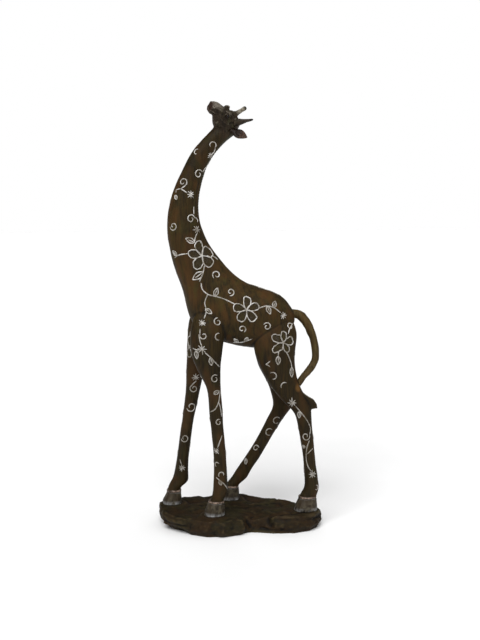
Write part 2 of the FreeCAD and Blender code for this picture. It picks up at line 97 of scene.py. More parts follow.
class Skin:
    """A closed skin of quads that can be smoothed and carved, in millimetres."""

    def __init__(self, co, quads):
        self.co, self.quads = co, quads
        pairs = np.concatenate([quads[:, [i, (i + 1) % 4]] for i in range(4)])
        pairs = np.unique(np.sort(pairs, axis=1), axis=0)
        self.a, self.b = pairs[:, 0], pairs[:, 1]
        self.count = np.bincount(np.concatenate([self.a, self.b]), minlength=len(co))
        self.count = np.maximum(self.count, 1)
        self.marks = {}

    def around(self, values):
        """The mean of each point's neighbours."""
        values = np.atleast_2d(values.T).T
        total = np.empty_like(values)
        for k in range(values.shape[1]):
            column = values[:, k]
            total[:, k] = (np.bincount(self.a, column[self.b], len(column))
                           + np.bincount(self.b, column[self.a], len(column)))
        return total / self.count[:, None]

    def along(self, start, run):
        """How far each point lies from a start along a direction."""
        return (self.co - np.array(start)) @ np.array(run)

    def normals(self, rounds=0):
        c = self.co[self.quads]
        face = np.cross(c[:, 2] - c[:, 0], c[:, 3] - c[:, 1])
        out = np.zeros_like(self.co)
        for k in range(3):
            for corner in range(4):
                out[:, k] += np.bincount(self.quads[:, corner], face[:, k], len(out))
        for _ in range(rounds):
            out = out / (np.linalg.norm(out, axis=1, keepdims=True) + 1e-12)
            out = self.around(out)
        return out / (np.linalg.norm(out, axis=1, keepdims=True) + 1e-12)

    def smooth(self, rounds, share=0.6):
        """Evens out the skin and gives back what each round shrinks."""
        for _ in range(rounds):
            self.co += (self.around(self.co) - self.co) * share
            self.co -= (self.around(self.co) - self.co) * share * 1.02

    def fillet(self, rounds, start=0.02):
        """Fills sharp inside corners, as glue and paint do, and leaves the rest."""
        for _ in range(rounds):
            pull = self.around(self.co) - self.co
            hollow = np.einsum("ij,ij->i", pull, self.normals())
            weight = np.clip((hollow - start) / 0.05, 0, 1)
            weight = np.maximum(weight, self.around(weight)[:, 0])
            self.co += pull * weight[:, None] * 0.8

    def nearby(self, points, reach):
        points = np.array(points, float)
        lo, hi = points.min(0) - reach, points.max(0) + reach
        return np.nonzero(((self.co > lo) & (self.co < hi)).all(1))[0]

    def gap(self, index, points):
        """How far each chosen point is from a line through the points."""
        points = np.array(points, float)
        p = self.co[index]
        best = np.full(len(index), 1e9)
        if len(points) == 1:
            return np.linalg.norm(p - points[0], axis=1)
        for start, end in zip(points, points[1:]):
            run = end - start
            share = np.clip((p - start) @ run / max(run @ run, 1e-9), 0, 1)
            best = np.minimum(best, np.linalg.norm(p - start - share[:, None] * run, axis=1))
        return best

    def stroke(self, points, reach, height, flat=0.0, mark=None, fade=None):
        """Raises or sinks the skin along a line, like one pull of a gouge."""
        index = self.nearby(points, reach)
        if not len(index):
            return
        gap = self.gap(index, points) / reach
        weight = np.clip((1 - gap) / (1 - flat), 0, 1)
        weight = weight * weight * (3 - 2 * weight)
        if fade is not None:
            weight = weight * fade[index]
        self.co[index] += self.push[index] * (weight * height)[:, None]
        if mark:
            values = self.marks.setdefault(mark, np.zeros(len(self.co)))
            values[index] = np.maximum(values[index], weight)

    def relax(self, weight, rounds):
        """Melts one region until its edges are gone."""
        for _ in range(rounds):
            self.co += (self.around(self.co) - self.co) * weight[:, None]

    def within(self, points, reach):
        """1 near a line through the points, fading to 0 at the reach."""
        weight = np.zeros(len(self.co))
        index = self.nearby(points, reach)
        weight[index] = np.clip(1.6 - 1.6 * self.gap(index, points) / reach, 0, 1)
        return weight

    def ready(self, rounds=3):
        """Fixes the directions that the next strokes push along."""
        self.push = self.normals(rounds)

    def lumps(self, size, height, seed, stretch=(1, 1, 1), keep=None):
        """Uneven hand-made swelling of a given size."""
        shift = Vector((seed, seed * 0.37, -seed * 1.3))
        scale = Vector(stretch) / size
        values = np.array([noise.noise(Vector(p) * scale + shift) for p in self.co])
        if keep is not None:
            values = values * keep
        self.co += self.push * (values * height)[:, None]

    def wear(self, reach=3):
        """Marks edges that hands rub bare and hollows that stay dark."""
        normal = self.normals(reach)
        pull = self.around(self.co) - self.co
        bend = np.einsum("ij,ij->i", pull, normal)
        for _ in range(reach):
            bend = self.around(bend)[:, 0]
        scale = np.percentile(np.abs(bend), 96) + 1e-9
        self.marks["worn"] = np.clip(-bend / scale, 0, 1.5)
        self.marks["hollow"] = np.clip(bend / scale, 0, 1.5)

    def mesh(self, name):
        return smooth_mesh(name, self.co * MM, self.quads.tolist(), **self.marks)


def cad_mesh(names, keep=None):
    """CAD nodes together in one bmesh, cut back to one side of a plane if asked."""
    joined = bmesh.new()
    for name in names:
        joined.from_mesh(nodes[name].data)
    bmesh.ops.remove_doubles(joined, verts=joined.verts, dist=1e-7)
    if keep:
        cut(joined, *keep)
    return joined


def cut(bm, point, normal):
    """Keeps what lies on the normal's side of a plane and closes the opening flat."""
    made = bmesh.ops.bisect_plane(
        bm, geom=bm.verts[:] + bm.edges[:] + bm.faces[:], plane_co=point * MM,
        plane_no=normal, clear_inner=True)["geom_cut"]
    rim = [e for e in made if isinstance(e, bmesh.types.BMEdge) and e.is_boundary]
    for edge in rim:
        edge.smooth = False
    caps = bmesh.ops.triangle_fill(bm, use_beauty=True, use_dissolve=False, edges=rim,
                                   normal=-normal)["geom"]
    for face in caps:
        if isinstance(face, bmesh.types.BMFace):
            face.smooth = False


def remeshed(bm, voxel):
    """The outer skin of whatever the bmesh holds, as an even mesh of small quads."""
    mesh = bpy.data.meshes.new("before_remesh")
    bm.to_mesh(mesh)
    bm.free()
    holder = bpy.data.objects.new("before_remesh", mesh)
    bpy.context.scene.collection.objects.link(holder)
    remesh = holder.modifiers.new("remesh", "REMESH")
    remesh.mode, remesh.voxel_size, remesh.adaptivity = "VOXEL", voxel * MM, 0.0
    done = bpy.data.meshes.new_from_object(
        holder.evaluated_get(bpy.context.evaluated_depsgraph_get()))
    bpy.data.objects.remove(holder)
    co = np.empty(len(done.vertices) * 3, np.float32)
    done.vertices.foreach_get("co", co)
    quads = np.array([p.vertices[:] for p in done.polygons if len(p.vertices) == 4], int)
    bpy.data.meshes.remove(done)
    return largest(co.reshape(-1, 3).astype(float) / MM, quads)


def largest(co, quads):
    """The biggest connected skin."""
    label = np.arange(len(co))
    ends = np.concatenate([quads[:, [i, (i + 1) % 4]] for i in range(4)])
    while True:
        low = np.minimum(label[ends[:, 0]], label[ends[:, 1]])
        new = label.copy()
        np.minimum.at(new, ends[:, 0], low)
        np.minimum.at(new, ends[:, 1], low)
        new = new[new]
        if (new == label).all():
            break
        label = new
    names, sizes = np.unique(label, return_counts=True)
    keep = label == names[sizes.argmax()]
    number = np.cumsum(keep) - 1
    return Skin(co[keep], number[quads[keep[quads[:, 0]]]])


# ---------------------------------------------------------------- materials
class Paint:
    """Builds one procedural material, node by node."""

    def __init__(self, name):
        self.material = bpy.data.materials.new(name)
        self.material.use_nodes = True
        self.tree = self.material.node_tree
        self.tree.nodes.clear()
        self.place = self.add("ShaderNodeTexCoord").outputs["Object"]

    def add(self, kind, inputs=None, **settings):
        node = self.tree.nodes.new(kind)
        for key, value in settings.items():
            setattr(node, key, value)
        for key, value in (inputs or {}).items():
            self.put(node.inputs[key], value)
        return node

    def put(self, socket, value):
        if isinstance(value, bpy.types.NodeSocket):
            self.tree.links.new(value, socket)
        elif isinstance(value, tuple) and len(value) == 3 and socket.type == "RGBA":
            socket.default_value = (*value, 1.0)
        else:
            socket.default_value = value

    def mark(self, name):
        return self.add("ShaderNodeAttribute", attribute_name=name).outputs["Fac"]

    def scaled(self, per_mm, turn=(0.0, 0.0, 0.0)):
        """Object coordinates times a scale per millimetre, one for all axes or one for each."""
        scale = per_mm if isinstance(per_mm, tuple) else (per_mm,) * 3
        return self.add("ShaderNodeMapping", {"Vector": self.place, "Rotation": turn,
                                              "Scale": [s / MM for s in scale]}).outputs[0]

    def noise(self, per_mm, detail=3.0, rough=0.55, twist=0.0, turn=(0.0, 0.0, 0.0)):
        return self.add("ShaderNodeTexNoise", {
            "Vector": self.scaled(per_mm, turn), "Scale": 1.0, "Detail": detail,
            "Roughness": rough, "Distortion": twist}).outputs[0]

    def cells(self, per_mm):
        return self.add("ShaderNodeTexVoronoi", {"Vector": self.scaled(per_mm),
                                                 "Scale": 1.0}).outputs["Distance"]

    def height(self):
        """Height above the ground in metres."""
        return self.add("ShaderNodeSeparateXYZ", {0: self.place}).outputs[2]

    def span(self, value, low, high, out_low=0.0, out_high=1.0):
        return self.add("ShaderNodeMapRange", {
            "Value": value, "From Min": low, "From Max": high, "To Min": out_low,
            "To Max": out_high}, clamp=True).outputs[0]

    def times(self, a, b):
        return self.add("ShaderNodeMath", {0: a, 1: b}, operation="MULTIPLY").outputs[0]

    def plus(self, a, b, kind="ADD"):
        return self.add("ShaderNodeMath", {0: a, 1: b}, operation=kind).outputs[0]

    def blend(self, share, a, b):
        return self.add("ShaderNodeMix", {0: share, 6: a, 7: b}, data_type="RGBA").outputs[2]

    def ramp(self, value, low, high, first, last):
        """One colour turning into another as a value goes from low to high."""
        return self.blend(self.span(value, low, high), first, last)

    def tint(self, colour, value, low, high, most, other):
        """Lays another colour over, up to a share that grows as a value goes from low to high."""
        return self.blend(self.span(value, low, high, 0.0, most), colour, other)

    def finish(self, colour, rough, height=None, depth=0.3, **fixed):
        shader = self.add("ShaderNodeBsdfPrincipled", {"Base Color": colour, "Roughness": rough})
        for key, value in fixed.items():
            shader.inputs[key.replace("_", " ")].default_value = value
        if height is not None:
            bump = self.add("ShaderNodeBump", {"Strength": 1.0, "Distance": depth * MM,
                                               "Height": height})
            self.tree.links.new(bump.outputs[0], shader.inputs["Normal"])
        output = self.add("ShaderNodeOutputMaterial")
        self.tree.links.new(shader.outputs[0], output.inputs[0])
        return self.material


def rgb(r, g, b):
    """A colour given in display values from 0 to 255."""
    return tuple((c / 255.0) ** 2.2 for c in (r, g, b))


def wood(name, stain, face=None, gloss=0.58, petals=False, mane=False, low=0.0):
    """Stained carved wood: upright grain, uneven stain, dark hollows and rubbed edges.

    The colour is darker at the top of the neck and, as painted shade, darker low down; a second
    stain takes over where the mesh is marked as the face.
    """
    p = Paint(name)
    dark, mid, rust, olive, rub = (stain[k] for k in ("dark", "mid", "rust", "olive", "rub"))
    if face:
        share = p.mark("face")
        dark, mid, rust, olive, rub = (
            p.blend(share, stain[k], face[k]) for k in ("dark", "mid", "rust", "olive", "rub"))
    warp = p.noise((0.02, 0.02, 0.008), 2.0)
    streak = p.noise((0.42, 0.42, 0.022), 5.0, 0.6, 0.6)
    fine = p.noise((1.6, 1.6, 0.07), 3.0, 0.6)
    patch = p.noise((0.045, 0.045, 0.018), 2.0, 0.5, 0.8)
    blotch = p.noise((0.11, 0.11, 0.05), 3.0, 0.6)
    colour = p.ramp(streak, 0.32, 0.68, dark, mid)
    colour = p.tint(colour, patch, 0.48, 0.66, 0.75, rust)
    colour = p.tint(colour, blotch, 0.52, 0.72, 0.55, olive)
    colour = p.tint(colour, fine, 0.56, 0.74, 0.45, dark)
    colour = p.tint(colour, warp, 0.55, 0.75, 0.5, dark)
    colour = p.tint(colour, p.mark("hollow"), 0.15, 1.0, 0.8, rgb(16, 12, 7))
    rubbed = p.times(p.span(p.mark("worn"), 0.35, 1.2), p.span(streak, 0.38, 0.6, 0.1, 1.0))
    colour = p.blend(p.times(rubbed, 0.55 if face else 0.3), colour, rub)
    # Darker low down: painted shade, as the legs and lower body get less light from above.
    if low:
        colour = p.tint(colour, p.height(), 0.34, 0.24, low, rgb(22, 18, 9))
    upper = p.span(p.height(), 0.43, 0.52, 0.0, 0.42)
    if face:
        upper = p.times(upper, p.span(share, 0.0, 1.0, 1.0, 0.0))
    colour = p.blend(upper, colour, rgb(26, 21, 11))
    if face:
        tuft = p.noise(0.55, 3.0, 0.6)
        # The top of the muzzle, where it faces up, turns pale grey: a painted highlight.
        bare_wear_and_highlight = p.times(p.mark("pale"), p.span(tuft, 0.36, 0.6, 0.35, 1.0))
        colour = p.blend(p.times(bare_wear_and_highlight, 0.75), colour, rgb(126, 118, 108))
        # The front of the muzzle turns dark reddish: the mouth, and painted shade where that face
        # lies in shadow.
        colour = p.blend(p.times(p.mark("mouth"), 0.8), colour,
                         p.ramp(tuft, 0.35, 0.65, rgb(26, 14, 9), rgb(62, 40, 30)))
        # The two horns are one material painted two ways: the near horn darker as painted shade,
        # the far horn paler as painted light.
        horn = p.mark("horn")
        shaded_near_horn = p.ramp(tuft, 0.35, 0.62, rgb(26, 22, 18), rgb(66, 58, 50))
        lit_far_horn = p.ramp(tuft, 0.3, 0.6, rgb(92, 84, 70), rgb(150, 143, 128))
        colour = p.tint(colour, horn, 0.02, 0.35, 0.85,
                        p.blend(p.mark("painted_lit_horn"), shaded_near_horn, lit_far_horn))
        colour = p.tint(colour, horn, 0.8, 0.95, 0.9, rgb(20, 17, 14))
    height = p.plus(p.times(streak, 0.8), p.times(fine, 0.5))
    rough = p.span(p.plus(p.times(streak, 0.6), p.times(blotch, 0.6)),
                   0.35, 0.85, gloss - 0.08, gloss + 0.18)
    if mane:
        share = p.mark("mane")
        hair = p.noise((0.5, 0.9, 0.5), 4.0, 0.6, turn=(0.0, 0.6, 0.0))
        tone = p.ramp(hair, 0.4, 0.62, rgb(30, 29, 18), rgb(60, 60, 42))
        colour = p.tint(colour, share, 0.1, 0.9, 0.6, tone)
    if petals:
        colour = p.tint(colour, p.mark("tan"), 0.2, 0.8, 0.6, rgb(104, 74, 38))
        share = p.span(p.mark("petal"), 0.3, 0.8)
        dots = p.cells(0.85)
        tone = p.ramp(p.noise(0.12, 2.0), 0.42, 0.6, rgb(84, 76, 42), rgb(92, 86, 84))
        tone = p.ramp(dots, 0.15, 0.42, tone, rgb(46, 39, 22))
        colour = p.blend(p.times(share, 0.85), colour, tone)
        height = p.plus(height, p.times(share, p.span(dots, 0.1, 0.5, 0.8, 0.0)))
    return p.finish(colour, rough, height, 0.35, Specular_IOR_Level=0.14)


BODY = dict(dark=rgb(30, 23, 10), mid=rgb(63, 50, 24), rust=rgb(76, 52, 25), olive=rgb(62, 58, 29),
            rub=rgb(92, 80, 54))
HEAD = dict(dark=rgb(26, 21, 14), mid=rgb(54, 44, 33), rust=rgb(64, 46, 32), olive=rgb(68, 66, 46),
            rub=rgb(128, 120, 106))
body_wood = wood("carved_body_wood", BODY, petals=True, mane=True, low=0.5)
head_wood = wood("carved_head_wood", BODY, HEAD, gloss=0.52, mane=True)
tail_wood = wood("carved_tail_wood", dict(dark=rgb(42, 32, 14), mid=rgb(74, 60, 34),
                                          rust=rgb(82, 60, 32), olive=rgb(78, 70, 42),
                                          rub=rgb(108, 94, 64)))


def rubbed_silver(name, light, grey, under, bare_wear_and_highlight, low):
    """Silver paint brushed on thin: streaky and worn through to brown in places, browner low down
    as painted shade, and on the bands silver only along the middle of the outer face as a painted
    highlight.
    """
    p = Paint(name)
    cloud = p.noise(0.22, 4.0, 0.6)
    grit = p.noise(1.1, 3.0, 0.6)
    age = p.noise(0.035, 2.0)
    colour = p.ramp(cloud, 0.4, 0.62, light, grey)
    colour = p.tint(colour, age, 0.5, 0.66, 0.4, under)
    # Browner low down: painted shade, as the lower lines get less light.
    colour = p.tint(colour, p.height(), 0.29, 0.22, low, under)
    gone = p.span(p.plus(p.times(cloud, 0.55), p.times(grit, 0.5)), bare_wear_and_highlight, bare_wear_and_highlight + 0.1)
    colour = p.blend(gone, colour, under)
    # Brown where the edge mark is low: the crest of each line, and the top and bottom of each band,
    # so the band's silver paint shows only along the middle of its outer face as a painted
    # highlight.
    colour = p.blend(p.span(p.mark("edge"), 0.2, 0.95, 0.65, 0.0), colour, under)
    rough = p.span(gone, 0.0, 1.0, 0.38, 0.66)
    return p.finish(colour, rough, grit, 0.16, Metallic=0.12, Specular_IOR_Level=0.5)


line_paint = rubbed_silver("rubbed_silver_line", rgb(252, 250, 247), rgb(180, 175, 165),
                           rgb(82, 72, 54), 0.58, 0.42)
band_paint = rubbed_silver("rubbed_silver_band", rgb(160, 136, 120), rgb(84, 66, 54),
                           rgb(46, 36, 26), 0.5, 0.0)


def rock_material():
    """Chiselled wood stained as a rock: mottled brown, dark in the cuts, dry on the ridges."""
    p = Paint("rock_wood")
    cloud = p.noise((0.028, 0.028, 0.05), 3.0, 0.6, 0.8)
    mottle = p.noise((0.13, 0.11, 0.2), 4.0, 0.62, 0.6)
    grain = p.noise((0.12, 0.7, 0.7), 4.0, 0.6, 0.5)
    grit = p.noise(1.3, 3.0, 0.6)
    colour = p.ramp(mottle, 0.34, 0.66, rgb(24, 19, 9), rgb(44, 35, 18))
    colour = p.tint(colour, cloud, 0.46, 0.64, 0.7, rgb(46, 32, 16))
    colour = p.tint(colour, cloud, 0.5, 0.34, 0.6, rgb(44, 41, 23))
    colour = p.tint(colour, grain, 0.5, 0.72, 0.45, rgb(24, 19, 10))
    colour = p.tint(colour, grit, 0.6, 0.8, 0.3, rgb(64, 56, 38))
    colour = p.tint(colour, p.mark("hollow"), 0.15, 0.9, 0.88, rgb(13, 10, 5))
    ridge = p.times(p.span(p.mark("worn"), 0.3, 1.1), p.span(mottle, 0.36, 0.6, 0.15, 1.0))
    colour = p.blend(p.times(ridge, 0.5), colour, rgb(74, 63, 43))
    height = p.plus(p.times(grain, 0.7), p.times(grit, 0.5))
    return p.finish(colour, p.span(mottle, 0.3, 0.7, 0.6, 0.82), height, 0.5,
                    Specular_IOR_Level=0.16)


def hoof_material():
    """Grey paint dragged downwards over brown wood, brightest along the rubbed edges."""
    p = Paint("hoof_paint")
    drag = p.noise((0.2, 0.2, 0.13), 4.0, 0.6, 0.6)
    cloud = p.noise(0.09, 3.0)
    fine = p.noise((0.9, 0.9, 0.25), 3.0)
    colour = p.ramp(drag, 0.4, 0.62, rgb(38, 31, 20), rgb(74, 67, 53))
    colour = p.tint(colour, cloud, 0.46, 0.66, 0.75, rgb(52, 42, 29))
    colour = p.tint(colour, fine, 0.5, 0.72, 0.4, rgb(28, 23, 16))
    colour = p.tint(colour, p.mark("hollow"), 0.2, 1.0, 0.8, rgb(18, 14, 9))
    sole = p.times(p.mark("sole"), p.span(cloud, 0.42, 0.56, 0.1, 1.0))
    silver = p.plus(sole, p.span(p.mark("worn"), 0.4, 1.2, 0.0, 0.4), "MAXIMUM")
    colour = p.blend(p.times(silver, p.span(drag, 0.36, 0.56, 0.2, 1.0)), colour,
                     rgb(136, 137, 138))
    return p.finish(colour, p.span(drag, 0.3, 0.7, 0.42, 0.62), fine, 0.12, Metallic=0.1,
                    Specular_IOR_Level=0.3)


def ear_material():
    """Brown outside, reddish inside with pale scratches along the rim."""
    p = Paint("ear_wood")
    grain = p.noise(0.5, 4.0, 0.6)
    fine = p.noise(1.2, 3.0)
    outside = p.ramp(grain, 0.35, 0.65, rgb(28, 22, 15), rgb(62, 53, 42))
    inside = p.ramp(grain, 0.38, 0.64, rgb(16, 10, 5), rgb(44, 29, 18))
    inside = p.blend(p.times(p.mark("tip"), p.span(grain, 0.38, 0.6)), inside,
                     rgb(72, 52, 39))
    colour = p.blend(p.span(p.mark("inner"), 0.3, 0.8), outside, inside)
    colour = p.tint(colour, p.mark("hollow"), 0.3, 1.1, 0.8, rgb(24, 14, 8))
    rim = p.times(p.span(p.mark("worn"), 0.45, 1.2), p.span(fine, 0.42, 0.6, 0.0, 0.7))
    colour = p.blend(rim, colour, rgb(124, 112, 98))
    return p.finish(colour, p.span(grain, 0.3, 0.7, 0.46, 0.66), fine, 0.2,
                    Specular_IOR_Level=0.2)


def eye_material():
    """A dark glass bead: brown iris round a black pupil, under a clear coat."""
    p = Paint("eye_bead")
    swirl = p.noise(0.9, 3.0)
    ring = p.mark("pupil")
    iris = p.ramp(swirl, 0.35, 0.65, rgb(16, 10, 6), rgb(42, 27, 16))
    colour = p.ramp(ring, 0.45, 0.6, iris, (0.002, 0.002, 0.002))
    return p.finish(colour, p.span(swirl, 0.3, 0.7, 0.2, 0.34), swirl, 0.03,
                    Specular_IOR_Level=0.2)


def hidden_wood():
    p = Paint("beech_dowel")
    grain = p.noise((0.6, 0.6, 0.05), 4.0)
    colour = p.ramp(grain, 0.35, 0.65, rgb(168, 132, 90), rgb(206, 176, 132))
    return p.finish(colour, p.span(grain, 0.3, 0.7, 0.55, 0.75), grain, 0.2)


def screw_metal():
    p = Paint("screw_steel")
    scuff = p.noise(0.9, 4.0)
    colour = p.ramp(scuff, 0.35, 0.65, rgb(120, 118, 112), rgb(178, 176, 170))
    return p.finish(colour, p.span(scuff, 0.3, 0.7, 0.25, 0.5), scuff, 0.05, Metallic=1.0)


def place(mesh, material, slot, *stands_for):
    """Puts a finished mesh into the scene as a piece of the same name that rides on the statue."""
    mesh.materials.clear()
    mesh.materials.append(material)
    piece = bpy.data.objects.new(mesh.name, mesh)
    bpy.context.scene.collection.objects.link(piece)
    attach(piece, "root")
    if stands_for:
        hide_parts(*stands_for)


# ---------------------------------------------------------------- places on the skin
def seen(x, z, side=-1, depth=20.0):
    """The skin point that shows at (x, z) from the left (-1) or right (+1) of the statue."""
    eye = Vector((EYE_POINT.x, -side * EYE_POINT.y, EYE_POINT.z))
    aim = Vector((x, side * depth, z))
    hit, normal, _, _ = drape.ray_cast(eye, (aim - eye).normalized())
    if hit is None:
        hit, normal, _, _ = drape.find_nearest(aim)
    return hit, normal


def onto(point):
    """The nearest skin point and its normal."""
    return drape.find_nearest(point)[:2]


def walk(start, normal, heading, length):
    """Goes straight over the skin for a length and gives the point there."""
    steps = max(1, int(length / 1.6))
    point = start
    heading = (heading - normal * heading.dot(normal)).normalized()
    for _ in range(steps):
        point, normal, _, _ = drape.find_nearest(point + heading * (length / steps))
        heading = (heading - normal * heading.dot(normal)).normalized()
    return point


def laid(anchor, shape):
    """A flat shape, given as (right, up) steps from its middle, wrapped over the skin."""
    point, normal = anchor
    right = Vector((1, 0, 0))
    up = UP - normal * UP.z
    if up.length < 0.3:
        up = right.cross(normal)
    up.normalize()
    across = up.cross(normal)
    if across.dot(right) < 0:
        across = -across
    out = []
    for a, b in shape:
        length = math.hypot(a, b)
        if length < 0.05:
            out.append(point)
        else:
            out.append(walk(point, normal, (across * a + up * b) / length, length))
    return out


# ---------------------------------------------------------------- flat motifs, in millimetres
def hook(radius, start, sweep, inner=0.3):
    """A curl that starts on its outer circle and winds inwards; angles are in degrees."""
    count = max(14, int(abs(sweep) * radius / 60.0))
    points = []
    for i in range(count + 1):
        t = i / count
        a = math.radians(start + sweep * t)
        r = radius * (1.0 - (1.0 - inner) * t ** 1.5)
        points.append((r * math.cos(a), r * math.sin(a)))
    return [points]


def star(radius, rays=8):
    out = []
    for i in range(rays):
        a = 2.0 * math.pi * i / rays + draws.uniform(-0.12, 0.12)
        long = radius * draws.uniform(0.78, 1.1)
        out.append([(0.02 * radius * math.cos(a), 0.02 * radius * math.sin(a)),
                    (0.55 * long * math.cos(a + 0.04), 0.55 * long * math.sin(a + 0.04)),
                    (long * math.cos(a), long * math.sin(a))])
    return out


def turned(points, angle):
    """Points given as (along, across) a direction, with the direction's angle in radians."""
    c, s = math.cos(angle), math.sin(angle)
    return [(u * c - v * s, u * s + v * c) for u, v in points]


def leaf(length, width, turn):
    """An outlined pointed leaf with a rib, growing from its stalk end at the middle."""
    edge = [(length * i / 10.0, width * 0.62 * math.sin(math.pi * (i / 10.0) ** 0.85))
            for i in range(11)]
    back = [(u, -v) for u, v in edge[-2::-1]]
    rib = [(length * 0.12, 0), (length * 0.45, 0.2), (length * 0.72, 0)]
    return [turned(line, math.radians(turn)) for line in (edge + back, rib)]


def teardrop(long, half, angle, points=26):
    """A petal outline with its point at the middle."""
    steps = [2.0 * math.pi * i / points for i in range(points + 1)]
    return turned([(long * (1 - math.cos(a)) / 2.0,
                    half * 1.12 * math.sin(a) * abs(math.sin(a / 2.0)) ** 0.8) for a in steps],
                  angle)


def flower(*petals):
    """Petals given as steps (x, z) from the middle with the radius of their round ends."""
    return [teardrop(math.hypot(u, v) + r, r, math.atan2(v, u)) for u, v, r in petals]


def fork(size):
    """A small forked twig that opens to the right."""
    return [[(size * u, size * v) for u, v in ((1, 0.75), (0.4, 0.25), (0, 0), (0.5, -0.2),
                                               (1, -0.6))]]


def smooth_line(points, step=1.1):
    """A rounded curve through the points, evenly divided."""
    points = [Vector(p) for p in points]
    if len(points) > 2:
        ends = [points[0] * 2 - points[1]] + points + [points[-1] * 2 - points[-2]]
        dense = []
        for a, b, c, d in zip(ends, ends[1:], ends[2:], ends[3:]):
            for k in range(8):
                t = k / 8.0
                dense.append(0.5 * (2 * b + (c - a) * t + (2 * a - 5 * b + 4 * c - d) * t * t
                                    + (3 * b - a - 3 * c + d) * t ** 3))
        points = dense + [points[-1]]
    lengths = [0.0]
    for p, q in zip(points, points[1:]):
        lengths.append(lengths[-1] + (q - p).length)
    count = max(3, int(lengths[-1] / step))
    out, k = [], 0
    for i in range(count + 1):
        goal = lengths[-1] * i / count
        while k < len(points) - 2 and lengths[k + 1] < goal:
            k += 1
        gap = max(lengths[k + 1] - lengths[k], 1e-9)
        out.append(points[k].lerp(points[k + 1], min(1.0, (goal - lengths[k]) / gap)))
    return out


LINE_HALF_WIDTH, LINE_HEIGHT = 0.7, 0.55
LINE_SIDES = 8             # points round a ribbon
LONGEST_JUMP = 6.0         # a ribbon whose points lie further apart has slipped off the skin


class Lines:
    """Raised painted lines on one part of the figure, as closed rounded ribbons."""

    def __init__(self):
        self.verts, self.faces, self.edge = [], [], []

    def ribbon(self, points):
        """One ribbon through points on the skin, thinner at its ends."""
        path = [onto(p) for p in smooth_line(points)]
        path = [p for p in path if p[0] is not None]
        if len(path) < 4:
            return
        if max((a[0] - b[0]).length for a, b in zip(path, path[1:])) > LONGEST_JUMP:
            return
        count, first = len(path), len(self.verts)
        closed = (path[0][0] - path[-1][0]).length < 0.6
        seed = draws.uniform(0, 50)
        for i, (point, normal) in enumerate(path):
            run = path[min(i + 1, count - 1)][0] - path[max(i - 1, 0)][0]
            side = run.cross(normal)
            if side.length < 1e-6:
                side = normal.orthogonal()
            side.normalize()
            end = min(i, count - 1 - i) / 2.2
            taper = 1.0 if closed else min(1.0, 0.45 + 0.55 * end)
            uneven = 1.0 + 0.16 * noise.noise(Vector((i * 0.35, seed, 0)))
            w, h = LINE_HALF_WIDTH * taper * uneven, LINE_HEIGHT * taper * (2.0 - uneven)
            for k in range(LINE_SIDES):
                a = 2.0 * math.pi * k / LINE_SIDES
                place_at = point + side * (w * math.cos(a)) + normal * (h * math.sin(a) + 0.05)
                self.verts.append(place_at * MM)
                self.edge.append(abs(math.cos(a)))
        n = LINE_SIDES
        for i in range(count - 1):
            for k in range(n):
                a, b = first + i * n + k, first + i * n + (k + 1) % n
                self.faces.append((a, b, b + n, a + n))
        self.faces.append(tuple(first + k for k in range(n - 1, -1, -1)))
        self.faces.append(tuple(first + (count - 1) * n + k for k in range(n)))

    def motif(self, anchor, shapes):
        for shape in shapes:
            self.ribbon(laid(anchor, shape))

    def piece(self, name):
        mesh = smooth_mesh(name, self.verts, self.faces, edge=self.edge)
        bm = bmesh.new()
        bm.from_mesh(mesh)
        bmesh.ops.recalc_face_normals(bm, faces=bm.faces)
        bm.to_mesh(mesh)
        bm.free()
        place(mesh, line_paint, "silver_paint")


